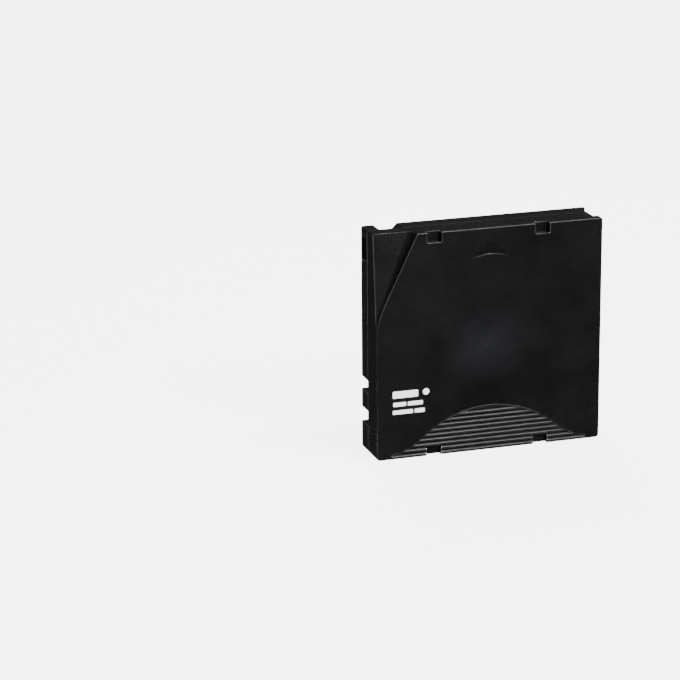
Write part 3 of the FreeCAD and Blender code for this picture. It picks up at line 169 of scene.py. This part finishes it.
@dataclass(frozen=True)
class MouldedPlastic:
    """Injection-moulded plastic with the grain that its steel mould left on it.

    Mottle and speck are the shares by which clouds and grain change the colour. The rubbed values
    hold along rims and ridges, where the grey is partly wear and partly a painted highlight, and
    the painted sheen is a paler bluish patch around the moulding gate.
    """

    name: str
    colour: str
    roughness: float
    grain_mm: float
    grain_height_mm: float
    mottle: float = 0.12
    speck: float = 0.18
    edge_mm: float = 0.12
    # grey painted along rims and ridges: partly wear, partly a painted highlight
    wear_and_highlight_colour: str = ""
    rubbed_roughness: float = 0.3
    wear_and_highlight_mm: float = 0.6
    # painted sheen: towards the gate the colour turns to this paler bluish one
    painted_sheen_colour: str = ""
    painted_sheen_centre: tuple[float, float, float] = (0.0, 0.0, 0.0)
    painted_sheen_mm: float = 26.0
    cloud_mm: float = 22.0
    gloss_spread: float = 0.06
    grain_strength: float = 0.55
    rubbed_grain_strength: float = 0.05

    def material(self) -> Material:
        """Build the finish: close grain, faint clouds, soft edges and rubbed ridges.

        Returns:
            The material.
        """
        material, tree = blank_material(self.name)
        place = add_node(tree, "TexCoord").outputs["Object"]
        # the mould leaves close rounded pits, drawn far coarser than real ones so that they show
        pits = add_node(
            tree, "TexNoise",
            values={"Scale": 1 / (self.grain_mm * MM), "Detail": 2.0, "Roughness": 0.6},
            links={"Vector": place},
        ).outputs["Fac"]
        # the melt cools unevenly, which shows as wide faint clouds
        clouds = add_node(
            tree, "TexNoise",
            values={"Scale": 1 / (self.cloud_mm * MM), "Detail": 3.0, "Roughness": 0.55},
            links={"Vector": place},
        ).outputs["Fac"]
        # rays sent into the plastic soon come out again at rims and ridges, which handling rubs
        # smooth; the grey painted there is partly wear and partly a painted highlight
        ridge = add_node(
            tree, "AmbientOcclusion", {"inside": True, "samples": 6},
            {"Distance": self.wear_and_highlight_mm * MM},
        )
        wear_and_highlight = add_node(
            tree, "MapRange", values={"From Min": 0.85, "From Max": 0.5},
            links={"Value": ridge.outputs["AO"]},
        ).outputs["Result"]
        ground = self.add_ground(tree, place)
        surface = add_node(
            tree, "BsdfPrincipled", values={"IOR": 1.53},
            links={
                "Base Color": self.add_tone(tree, ground, pits, clouds, wear_and_highlight),
                "Roughness": self.add_gloss(tree, clouds, wear_and_highlight),
                "Normal": self.add_relief(tree, pits, wear_and_highlight),
            },
        )
        add_node(tree, "OutputMaterial", links={"Surface": surface.outputs["BSDF"]})
        return material

    def add_ground(self, tree: NodeTree, place: NodeSocket) -> NodeSocket:
        """Add the colour under the grain, with a painted sheen that turns it paler and bluer at
        the gate.

        Args:
            tree: The material's node tree.
            place: The Object coordinates.

        Returns:
            The socket that carries the colour.
        """
        # painted sheen: near the gate the colour fades into a paler bluish one
        centred = add_node(
            tree, "Mapping", values={"Location": tuple(-part for part in self.painted_sheen_centre)},
            links={"Vector": place},
        )
        away = add_node(
            tree, "VectorMath", {"operation": "LENGTH"}, links={0: centred.outputs["Vector"]},
        )
        share = add_node(
            tree, "MapRange", {"interpolation_type": "SMOOTHSTEP"},
            {"From Max": self.painted_sheen_mm * MM, "To Min": 1.0, "To Max": 0.0},
            {"Value": away.outputs["Value"]},
        )
        painted_sheen_mix = add_node(
            tree, "Mix", {"data_type": "RGBA"},
            {"A": linear(self.colour), "B": linear(self.painted_sheen_colour or self.colour)},
            {"Factor": share.outputs["Result"]},
        )
        return painted_sheen_mix.outputs["Result"]

    def add_tone(
        self, tree: NodeTree, ground: NodeSocket, pits: NodeSocket, clouds: NodeSocket,
        wear_and_highlight: NodeSocket,
    ) -> NodeSocket:
        """Add the colour: grain and clouds vary it, and rims get wear and a painted highlight.

        Args:
            tree: The material's node tree.
            ground: The colour under the grain.
            pits: The grain's noise.
            clouds: The noise of the clouds.
            wear_and_highlight: How far the surface is rubbed and painted lighter, from 0 to 1.

        Returns:
            The socket that carries the colour.
        """
        shades = [
            add_node(
                tree, "MapRange",
                values={**NOISE_ENDS, "To Min": 1 - spread, "To Max": 1 + spread},
                links={"Value": noise},
            ).outputs["Result"]
            for spread, noise in ((self.mottle, clouds), (self.speck, pits))
        ]
        both = add_node(
            tree, "Math", {"operation": "MULTIPLY"}, links={0: shades[0], 1: shades[1]},
        )
        tone = add_node(
            tree, "VectorMath", {"operation": "SCALE"},
            links={0: ground, "Scale": both.outputs["Value"]},
        )
        # rims and ridges turn grey: partly wear, partly a painted highlight
        wear_and_highlight_mix = add_node(
            tree, "Mix", {"data_type": "RGBA"}, {"B": linear(self.wear_and_highlight_colour or self.colour)},
            {"Factor": wear_and_highlight, "A": tone.outputs["Vector"]},
        )
        return wear_and_highlight_mix.outputs["Result"]

    def add_gloss(self, tree: NodeTree, clouds: NodeSocket, wear_and_highlight: NodeSocket) -> NodeSocket:
        """Add the roughness, which follows the clouds and changes where hands rub.

        Args:
            tree: The material's node tree.
            clouds: The noise of the clouds.
            wear_and_highlight: How far the surface is rubbed and painted lighter, from 0 to 1.

        Returns:
            The socket that carries the roughness.
        """
        gloss = add_node(
            tree, "MapRange",
            values={
                "From Min": 0.25, "From Max": 0.75,
                "To Min": self.roughness - self.gloss_spread,
                "To Max": self.roughness + self.gloss_spread,
            },
            links={"Value": clouds},
        )
        wear_and_highlight_mix = add_node(
            tree, "Mix", {"data_type": "FLOAT"}, {"B": self.rubbed_roughness},
            {"Factor": wear_and_highlight, "A": gloss.outputs["Result"]},
        )
        return wear_and_highlight_mix.outputs["Result"]

    def add_relief(self, tree: NodeTree, pits: NodeSocket, wear_and_highlight: NodeSocket) -> NodeSocket:
        """Add the grain's bumps over edges that no mould makes knife sharp.

        Args:
            tree: The material's node tree.
            pits: The grain's noise.
            wear_and_highlight: How far the surface is rubbed and painted lighter, from 0 to 1.

        Returns:
            The socket that carries the normal.
        """
        soft_edge = add_node(tree, "Bevel", {"samples": 4}, {"Radius": self.edge_mm * MM})
        left_grain = add_node(
            tree, "MapRange",
            values={"To Min": self.grain_strength, "To Max": self.rubbed_grain_strength},
            links={"Value": wear_and_highlight},
        )
        grain = add_node(
            tree, "Bump", values={"Distance": self.grain_height_mm * MM},
            links={
                "Strength": left_grain.outputs["Result"], "Height": pits,
                "Normal": soft_edge.outputs["Normal"],
            },
        )
        return grain.outputs["Normal"]


@dataclass(frozen=True)
class Steel:
    """Bare or plated steel: drawn wire, turned pin or stamped plate.

    The tool lines are line_mm wide and line_stretch times as long. The polish spreads are
    how far the roughness falls and rises along them.
    """

    name: str
    colour: str
    roughness: float
    line_mm: float
    line_height_mm: float
    line_stretch: float = 12.0
    polish_spreads: tuple[float, float] = (0.07, 0.09)

    def material(self) -> Material:
        """Build the finish: tool lines along one way, which also vary the polish.

        Returns:
            The material.
        """
        material, tree = blank_material(self.name)
        place = add_node(tree, "TexCoord").outputs["Object"]
        stretched = add_node(
            tree, "Mapping", values={"Scale": (1.0, self.line_stretch, 1.0)},
            links={"Vector": place},
        )
        # real tool lines are a few hundredths of a millimetre wide, too fine to show
        lines = add_node(
            tree, "TexNoise",
            values={"Scale": 1 / (self.line_mm * MM) / self.line_stretch, "Detail": 3.0},
            links={"Vector": stretched.outputs["Vector"]},
        ).outputs["Fac"]
        smoother, rougher = self.polish_spreads
        gloss = add_node(
            tree, "MapRange",
            values={
                **NOISE_ENDS,
                "To Min": self.roughness - smoother, "To Max": self.roughness + rougher,
            },
            links={"Value": lines},
        )
        scratches = add_node(
            tree, "Bump", values={"Strength": 0.4, "Distance": self.line_height_mm * MM},
            links={"Height": lines},
        )
        surface = add_node(
            tree, "BsdfPrincipled", values={"Base Color": linear(self.colour), "Metallic": 1.0},
            links={"Roughness": gloss.outputs["Result"], "Normal": scratches.outputs["Normal"]},
        )
        add_node(tree, "OutputMaterial", links={"Surface": surface.outputs["BSDF"]})
        return material


@dataclass(frozen=True)
class WoundFilm:
    """Coated polyester film on a reel, seen from the side as close rings."""

    name: str
    colour: str
    centre: tuple[float, float, float]
    turn_mm: float = 0.35
    ridge_mm: float = 0.02

    def material(self) -> Material:
        """Build the finish: rings about the reel's axis.

        Returns:
            The material.
        """
        material, tree = blank_material(self.name)
        place = add_node(tree, "TexCoord").outputs["Object"]
        # flattened along Y, so that the length of the vector is the distance from the axis
        flat = add_node(
            tree, "Mapping",
            values={
                "Location": (-self.centre[0], 0.0, -self.centre[2]), "Scale": (1.0, 0.0, 1.0),
            },
            links={"Vector": place},
        )
        radius = add_node(
            tree, "VectorMath", {"operation": "LENGTH"}, links={0: flat.outputs["Vector"]},
        )
        # real film is under 0.01 mm thick, so the turns are drawn coarse enough to show
        rings = add_node(
            tree, "TexNoise", {"noise_dimensions": "1D"},
            {"Scale": 1 / (self.turn_mm * MM), "Detail": 4.0}, {"W": radius.outputs["Value"]},
        ).outputs["Fac"]
        add_patterned_surface(
            tree, self.colour, rings,
            shade={**NOISE_ENDS, "To Min": 0.7, "To Max": 1.35},
            relief={"Strength": 0.5, "Distance": self.ridge_mm * MM},
            coat={"IOR": 1.6, "Roughness": 0.28},
        )
        return material


@dataclass(frozen=True)
class Lacquer:
    """Solder lacquer over the copper tracks of a small glass-fibre board."""

    name: str
    colour: str
    track_mm: float
    track_height_mm: float = 0.03

    def material(self) -> Material:
        """Build the finish: raised tracks that shine paler through the gloss.

        Returns:
            The material.
        """
        material, tree = blank_material(self.name)
        place = add_node(tree, "TexCoord").outputs["Object"]
        tracks = add_node(
            tree, "TexWave", {"wave_type": "BANDS", "bands_direction": "X"},
            {"Scale": 1 / (self.track_mm * MM) / WAVE_FACTOR, "Distortion": 0.6},
            {"Vector": place},
        ).outputs["Fac"]
        add_patterned_surface(
            tree, self.colour, tracks,
            shade={"To Min": 0.75, "To Max": 1.4},
            relief={"Strength": 0.4, "Distance": self.track_height_mm * MM},
            coat={"IOR": 1.5, "Roughness": 0.22},
        )
        return material


@dataclass(frozen=True)
class PrintInk:
    """Pad-printed ink, a thin opaque film that follows the grain under it."""

    name: str
    colour: str
    grain_mm: float
    relief_mm: float = 0.02

    def material(self) -> Material:
        """Build the finish: ink that is thinner where the grain stands highest.

        Returns:
            The material.
        """
        material, tree = blank_material(self.name)
        place = add_node(tree, "TexCoord").outputs["Object"]
        grain = add_node(
            tree, "TexNoise", values={"Scale": 1 / (self.grain_mm * MM), "Detail": 2.0},
            links={"Vector": place},
        ).outputs["Fac"]
        add_patterned_surface(
            tree, self.colour, grain,
            shade={"From Min": 0.35, "From Max": 0.7, "To Min": 0.82, "To Max": 1.0},
            relief={"Strength": 0.3, "Distance": self.relief_mm * MM},
            coat={"IOR": 1.5, "Roughness": 0.5},
        )
        return material


def middle_of(node: str) -> Vector:
    """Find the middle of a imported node's box.

    Args:
        node: The node's name.

    Returns:
        The middle, in metres.
    """
    low, high = (Vector(corner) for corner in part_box(node))
    return (low + high) / 2


def dress(node: str, material: Material) -> None:
    """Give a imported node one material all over.

    Args:
        node: The node's name.
        material: The finish that it takes.
    """
    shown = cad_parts[node]
    shown.data.materials.clear()
    shown.data.materials.append(material)
    LOG.info("dressed %s with %s", node, material.name)


def deselect() -> None:
    """Leave nothing selected, so that an operator acts on new work only."""
    bpy.ops.object.select_all(action="DESELECT")


def apply_place() -> None:
    """Put the place, turn and scale of the selected object into its mesh."""
    bpy.ops.object.transform_apply(location=True, rotation=True, scale=True)


def settle(piece: bpy.types.Object) -> None:
    """Bring a piece to the origin, merge its doubles and point its faces outwards.

    Args:
        piece: A mesh object, which ends unturned and unscaled, with its place in its mesh.
    """
    deselect()
    piece.select_set(True)
    bpy.context.view_layer.objects.active = piece
    apply_place()
    bpy.ops.object.mode_set(mode="EDIT")
    bpy.ops.mesh.select_all(action="SELECT")
    bpy.ops.mesh.remove_doubles(threshold=MERGE_GAP)
    bpy.ops.mesh.normals_make_consistent(inside=False)
    bpy.ops.object.mode_set(mode="OBJECT")


def apply_modifiers(piece: bpy.types.Object) -> None:
    """Apply all modifiers of a piece in order.

    Args:
        piece: A mesh object.
    """
    bpy.context.view_layer.objects.active = piece
    for modifier in list(piece.modifiers):
        bpy.ops.object.modifier_apply(modifier=modifier.name)


@dataclass(frozen=True)
class Coil:
    """One round-wire spring, which stands for a packed spring."""

    node: str
    joint: str
    axis: tuple[float, float, float]
    wire_mm: float
    turns: float
    keep: float
    wire_sides: int = 12
    steps_per_turn: int = 28

    def build(self, material: Material) -> None:
        """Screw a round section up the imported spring's own length.

        Args:
            material: The wire's finish.
        """
        low, high = (Vector(corner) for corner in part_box(self.node))
        along = Vector(self.axis)
        middle = middle_of(self.node)
        length = abs((high - low).dot(along))
        wire = self.wire_mm * MM
        # neither spring lies along X, so the box is as wide there as the coil
        radius = (high.x - low.x - wire) / 2
        deselect()
        bpy.ops.mesh.primitive_circle_add(
            vertices=self.wire_sides, radius=wire / 2, fill_type="NGON",
            location=(radius, 0, (wire - length) / 2), rotation=(math.pi / 2, 0, 0),
        )
        spring = bpy.context.active_object
        spring.name = self.node + "_wire"
        apply_place()
        screw = spring.modifiers.new("screw", "SCREW")
        screw.angle = 2 * math.pi * self.turns
        screw.screw_offset = length - wire
        screw.steps = screw.render_steps = round(self.steps_per_turn * self.turns)
        screw.use_smooth_shade = True
        screw.use_merge_vertices = True
        apply_modifiers(spring)
        turn = Vector((0, 0, 1)).rotation_difference(along).to_matrix().to_4x4()
        spring.matrix_world = Matrix.Translation(middle) @ turn
        settle(spring)
        spring.data.materials.append(material)
        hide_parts(self.node)
        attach(spring, "case")
        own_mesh(spring)
        LOG.info("built %s", spring.name)


@dataclass(frozen=True)
class Bar:
    """One printed bar: its lower left corner, its size and its corners in millimetres."""

    left: float
    low: float
    width: float
    height: float
    corner: float = 0.4


@dataclass
class Case:
    """Both mouldings, the screws, the tab, the memory board and the print."""

    ink_mm: float = 0.02
    corner_segments: int = 4
    bars: tuple[Bar, ...] = (
        # a block with a round dot beside it, over two rows of bars
        Bar(-45.4, 28.2, 11.8, 3.2, corner=0.5), Bar(-31.4, 28.6, 3.0, 3.0, corner=1.49),
        Bar(-45.2, 24.4, 6.0, 1.9), Bar(-38.4, 24.4, 7.0, 1.9),
        Bar(-45.4, 20.8, 9.4, 1.9), Bar(-35.2, 20.8, 4.7, 1.9),
    )
    # acetal from a polished mould: an even waxy red
    tab: MouldedPlastic = MouldedPlastic(
        "red_moulded_plastic", "8f1f18", roughness=0.42, grain_mm=0.5, grain_height_mm=0.01,
    )
    # zinc plate dulls steel to a grey that still mirrors a little
    screws: Steel = Steel(
        "zinc_plated_steel", "8c8f92", roughness=0.3, line_mm=0.2, line_height_mm=0.004,
    )
    # lacquer is a deep wet green
    board: Lacquer = Lacquer("green_board_lacquer", "0d5a33", track_mm=0.6)
    # moulded epoxy is a flat black
    chip: MouldedPlastic = MouldedPlastic(
        "chip_epoxy", "1a1a1a", roughness=0.55, grain_mm=0.2, grain_height_mm=0.006,
    )
    # pad ink is flat and thin, so the grain under it still shows
    ink: PrintInk = PrintInk("white_pad_ink", "e9e9e6", grain_mm=0.38)

    def face(self) -> float:
        """Find where the upper face lies along Y."""
        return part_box("upper_shell")[0][1]

    def shell_plastic(self) -> MouldedPlastic:
        """Choose the finish of the two mouldings.

        Returns:
            Black polycarbonate from a spark-eroded mould. It is dull with a close sparkle, shiny
            and grey on rubbed rims as wear and painted highlight, and a bluish painted sheen at
            the gate.
        """
        gate = middle_of("clutch_plate")
        return MouldedPlastic(
            "black_spark_eroded_plastic", "060607", roughness=0.37, grain_mm=0.6,
            grain_height_mm=0.35, mottle=0.3, speck=0.8, edge_mm=0.2,
            # grey on rims is partly wear and partly painted highlight; the bluish colour at the
            # gate is painted sheen
            wear_and_highlight_colour="3a3a3d", rubbed_roughness=0.15, painted_sheen_colour="0d0e12",
            painted_sheen_centre=(gate.x, self.face(), gate.z), painted_sheen_mm=24.0,
        )

    def printed_bar(self, bar: Bar) -> bpy.types.Object:
        """Model one bar of ink with round corners, lying on the upper face.

        Args:
            bar: Its place and size.

        Returns:
            The bar.
        """
        middle_x, middle_z = bar.left + bar.width / 2, bar.low + bar.height / 2
        deselect()
        bpy.ops.mesh.primitive_plane_add(
            size=1, rotation=(math.pi / 2, 0, 0),
            location=(middle_x * MM, self.face(), middle_z * MM),
        )
        piece = bpy.context.active_object
        piece.scale = (bar.width * MM, bar.height * MM, 1)
        apply_place()
        bpy.ops.object.mode_set(mode="EDIT")
        bpy.ops.mesh.select_all(action="SELECT")
        bpy.ops.mesh.bevel(
            offset=bar.corner * MM, segments=self.corner_segments, affect="VERTICES",
        )
        bpy.ops.mesh.select_all(action="SELECT")
        bpy.ops.mesh.extrude_region_move(
            TRANSFORM_OT_translate={"value": (0, -self.ink_mm * MM, 0)},
        )
        bpy.ops.object.mode_set(mode="OBJECT")
        return piece

    def build_print(self) -> None:
        """Lay the white print as one piece."""
        pieces = [self.printed_bar(bar) for bar in self.bars]
        deselect()
        for piece in pieces:
            piece.select_set(True)
        bpy.context.view_layer.objects.active = pieces[0]
        bpy.ops.object.join()
        printed = bpy.context.active_object
        printed.name = "face_print"
        settle(printed)
        printed.data.materials.append(self.ink.material())
        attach(printed, "case")
        LOG.info("built %s", printed.name)

    def dress(self) -> None:
        """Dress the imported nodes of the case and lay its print."""
        black = self.shell_plastic().material()
        for half in Half:
            dress(f"{half.value}_shell", black)
        dress("write_protect_tab", self.tab.material())
        dress("case_screws", self.screws.material())
        dress("memory_board", self.board.material())
        dress("memory_chip", self.chip.material())
        self.build_print()


@dataclass
class Reel:
    """Hub, flange, clutch plate and the cleaning tape."""

    film_colour: str = "2b211b"
    free_turn_mm: float = 3.0
    # unpigmented plastic is a cloudy white with a soft light
    hub: MouldedPlastic = MouldedPlastic(
        "natural_hub_plastic", "c9c7c0", roughness=0.42, grain_mm=0.6, grain_height_mm=0.008,
        mottle=0.03,
    )
    # a polished mould gives the flange a sharper shine
    flange: MouldedPlastic = MouldedPlastic(
        "smooth_flange_plastic", "cfcdc6", roughness=0.25, grain_mm=0.9, grain_height_mm=0.004,
        mottle=0.02,
    )
    # stamped sheet keeps its rolling lines, which break up what it mirrors
    plate: Steel = Steel(
        "stamped_clutch_steel", "a9abae", roughness=0.32, line_mm=0.25, line_height_mm=0.006,
    )

    def dress(self) -> None:
        """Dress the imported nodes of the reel."""
        dress("reel_hub", self.hub.material())
        dress("upper_flange", self.flange.material())
        dress("clutch_plate", self.plate.material())
        axis = middle_of("clutch_plate")
        centre = (axis.x, 0.0, axis.z)
        # coated film is satin brown, in close rings at the pack's side and plain where it is free
        wound = WoundFilm("wound_cleaning_film", self.film_colour, centre)
        dress("cleaning_tape", wound.material())
        free = WoundFilm("free_cleaning_film", self.film_colour, centre, self.free_turn_mm)
        dress("leader_tape", free.material())


@dataclass
class Brake:
    """The toothed brake, its release pad and its spring."""

    spring: Coil = Coil(
        "brake_spring", "brake_lift", (0.0, 1.0, 0.0), wire_mm=0.9, turns=4.5, keep=0.82,
    )
    # acetal is a waxy white that slides well
    button: MouldedPlastic = MouldedPlastic(
        "white_bearing_plastic", "dcd9d0", roughness=0.36, grain_mm=0.6, grain_height_mm=0.006,
        mottle=0.02,
    )
    pad: MouldedPlastic = MouldedPlastic(
        "white_pad_plastic", "dedbd3", roughness=0.36, grain_mm=0.6, grain_height_mm=0.006,
        mottle=0.02,
    )
    # drawn wire is bright, with fine lines
    wire: Steel = Steel(
        "brake_spring_wire", "a4a6a8", roughness=0.25, line_mm=0.15, line_height_mm=0.003,
    )

    def dress(self) -> None:
        """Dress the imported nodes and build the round-wire spring."""
        dress("brake_button", self.button.material())
        dress("release_pad", self.pad.material())
        self.spring.build(self.wire.material())


@dataclass
class Door:
    """The sliding door and the spring that shuts it."""

    spring: Coil = Coil(
        "door_spring", "door_slide", (0.0, 0.0, 1.0), wire_mm=0.4, turns=12, keep=0.46,
    )
    # the door's mould is finer than the case's, so its black is more even
    panel: MouldedPlastic = MouldedPlastic(
        "black_door_plastic", "08080a", roughness=0.42, grain_mm=0.45, grain_height_mm=0.015,
    )
    # thin drawn wire is bright, with fine lines
    wire: Steel = Steel(
        "door_spring_wire", "b0b2b4", roughness=0.22, line_mm=0.12, line_height_mm=0.002,
    )

    def dress(self) -> None:
        """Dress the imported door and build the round-wire spring."""
        dress("access_door", self.panel.material())
        self.spring.build(self.wire.material())


@dataclass
class Leader:
    """The leader pin with its clip and the wires that park it."""

    # a turned pin is nearly a mirror
    pin: Steel = Steel(
        "turned_pin_steel", "c4c6c8", roughness=0.16, line_mm=0.2, line_height_mm=0.002,
    )
    # nylon is a soft dark grey
    clip: MouldedPlastic = MouldedPlastic(
        "dark_clip_plastic", "26262a", roughness=0.4, grain_mm=0.5, grain_height_mm=0.006,
    )
    wire: Steel = Steel(
        "retainer_wire", "b0b2b4", roughness=0.22, line_mm=0.12, line_height_mm=0.002,
    )

    def dress(self) -> None:
        """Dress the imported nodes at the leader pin."""
        dress("leader_pin", self.pin.material())
        dress("leader_clip", self.clip.material())
        wire = self.wire.material()
        for half in Half:
            dress(f"pin_retainer_{half.value}", wire)


@dataclass(frozen=True)
class Softbox:
    """One soft square light: its place, side and aim in metres, and its power in watts."""

    name: str
    place: tuple[float, float, float]
    side: float
    power: float
    aim: tuple[float, float, float] = (0.0, 0.0, 0.05)

    def hang(self) -> None:
        """Hang the light at its place, turned to the point that it faces."""
        data = bpy.data.lights.new(self.name, "AREA")
        data.shape = "SQUARE"
        data.size = self.side
        data.energy = self.power
        lamp = bpy.data.objects.new(self.name, data)
        bpy.context.scene.collection.objects.link(lamp)
        way = Vector(self.aim) - Vector(self.place)
        turn = way.to_track_quat("-Z", "Y").to_matrix().to_4x4()
        lamp.matrix_world = Matrix.Translation(self.place) @ turn


@dataclass
class Studio:
    """Pale paper, soft lights and the camera of the reference view.

    Angles are in degrees, and sizes without another unit in metres.
    """

    # the camera, fitted to the reference view
    azimuth: float = -17.622
    elevation: float = 16.596
    roll: float = -0.429
    distance_mm: float = 1222.5
    target_mm: tuple[float, float, float] = (-66.06, 0.0, 54.198)
    lens_mm: float = 147.96
    sensor_mm: float = 36.0
    # the sweep of paper, flat and then bent up at its far edge
    paper_size: float = 8.0
    paper_rise: float = 4.0
    paper_bend: float = 2.0
    paper_drop_mm: float = 0.02
    paper_glow: float = 4.5
    # what glossy surfaces mirror in place of the paper
    reflector_size: float = 1.0
    reflector_place: tuple[float, float, float] = (0.47, 0.52, -0.002)
    reflector_glow: float = 0.5
    room_light: float = 0.05
    lights: tuple[Softbox, ...] = (
        Softbox("overhead_softbox", (0.0, 0.5, 2.2), side=3.4, power=20.0, aim=(0.0, 0.3, 0.0)),
        # lights the rims and the ribs' slopes
        Softbox("edge_softbox", (0.29, -0.29, 0.97), side=0.2, power=8.0),
        # lights the ramp of the guide recess
        Softbox("front_softbox", (0.305, -0.78, 0.68), side=0.2, power=6.0),
    )

    def back(self) -> Vector:
        """Work out which way the camera lies.

        Returns:
            The unit vector from the target to the camera.
        """
        azimuth, elevation = math.radians(self.azimuth), math.radians(self.elevation)
        return Vector((
            math.sin(azimuth) * math.cos(elevation),
            -math.cos(azimuth) * math.cos(elevation),
            math.sin(elevation),
        ))

    def add_camera(self) -> None:
        """Stand the camera where the reference view was taken from."""
        back = self.back()
        azimuth, roll = math.radians(self.azimuth), math.radians(self.roll)
        level = Vector((math.cos(azimuth), math.sin(azimuth), 0.0))
        rise = back.cross(level)
        right = level * math.cos(roll) + rise * math.sin(roll)
        up = rise * math.cos(roll) - level * math.sin(roll)
        data = bpy.data.cameras.new("view_camera")
        data.lens = self.lens_mm
        data.sensor_width = self.sensor_mm
        data.clip_start = 0.01
        data.clip_end = 50.0
        camera = bpy.data.objects.new("view_camera", data)
        bpy.context.scene.collection.objects.link(camera)
        turn = Matrix((right, up, back)).transposed().to_4x4()
        place = Vector(self.target_mm) * MM + back * self.distance_mm * MM
        camera.matrix_world = Matrix.Translation(place) @ turn
        bpy.context.scene.camera = camera

    def add_paper(self) -> None:
        """Lay a wide pale sweep of paper: flat under the cartridge, risen far behind it."""
        deselect()
        # a hair under the rear end, so that the two faces don't fight in the render
        bpy.ops.mesh.primitive_plane_add(
            size=self.paper_size, location=(0, 0, -self.paper_drop_mm * MM),
        )
        floor = bpy.context.active_object
        floor.name = "studio_floor"
        apply_place()
        # the edge between the two far corners is drawn up
        for vertex in floor.data.vertices:
            vertex.select = vertex.co.y > 0
        for edge in floor.data.edges:
            edge.select = all(floor.data.vertices[at].select for at in edge.vertices)
        for face in floor.data.polygons:
            face.select = False
        bpy.ops.object.mode_set(mode="EDIT")
        bpy.ops.mesh.extrude_region_move(
            TRANSFORM_OT_translate={"value": (0, 0, self.paper_rise)},
        )
        bpy.ops.object.mode_set(mode="OBJECT")
        bend = floor.modifiers.new("sweep", "BEVEL")
        bend.width = self.paper_bend
        bend.segments = 16
        apply_modifiers(floor)
        bpy.ops.object.shade_smooth()
        material, tree = blank_material("pale_floor_paper")
        # the paper glows like a light table, so that it stays white all round
        surface = add_node(
            tree, "BsdfPrincipled",
            values={
                "Base Color": linear("fbfbfb"), "Roughness": 0.95,
                "Emission Color": linear("ffffff"), "Emission Strength": self.paper_glow,
            },
        )
        add_node(tree, "OutputMaterial", links={"Surface": surface.outputs["BSDF"]})
        floor.data.materials.append(material)
        # as under a polarising filter, no glossy surface mirrors the paper
        floor.visible_glossy = False

    def add_reflector(self) -> None:
        """Lay a grey reflector under the paper, which glossy surfaces mirror from behind.

        The camera never sees it, and steel would look black from behind without it.
        """
        deselect()
        bpy.ops.mesh.primitive_plane_add(size=self.reflector_size, location=self.reflector_place)
        reflector = bpy.context.active_object
        reflector.name = "grey_reflector"
        apply_place()
        material, tree = blank_material("grey_reflector_cloth")
        glow = add_node(
            tree, "Emission", values={"Color": linear("ffffff"), "Strength": self.reflector_glow},
        )
        add_node(tree, "OutputMaterial", links={"Surface": glow.outputs["Emission"]})
        reflector.data.materials.append(material)
        reflector.visible_camera = False

    def add_world(self) -> None:
        """Fill the room with even pale light."""
        world = bpy.data.worlds.new("pale_room")
        world.use_nodes = True
        tree = world.node_tree
        tree.nodes.clear()
        sky = add_node(
            tree, "Background", values={"Color": linear("ffffff"), "Strength": self.room_light},
        )
        add_node(tree, "OutputWorld", links={"Surface": sky.outputs["Background"]})
        bpy.context.scene.world = world

    def build(self) -> None:
        """Set up the room, the paper, the reflector, the lights and the camera."""
        self.add_world()
        self.add_paper()
        self.add_reflector()
        for light in self.lights:
            light.hang()
        self.add_camera()
        LOG.info("set up the studio")


def main() -> None:
    """Dress every sub-assembly in order and set up the studio."""
    logging.basicConfig(level=logging.INFO, format="%(name)s: %(message)s")
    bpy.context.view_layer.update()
    for assembly in (Case(), Reel(), Brake(), Door(), Leader()):
        assembly.dress()
    Studio().build()


if __name__ == "__main__":
    main()
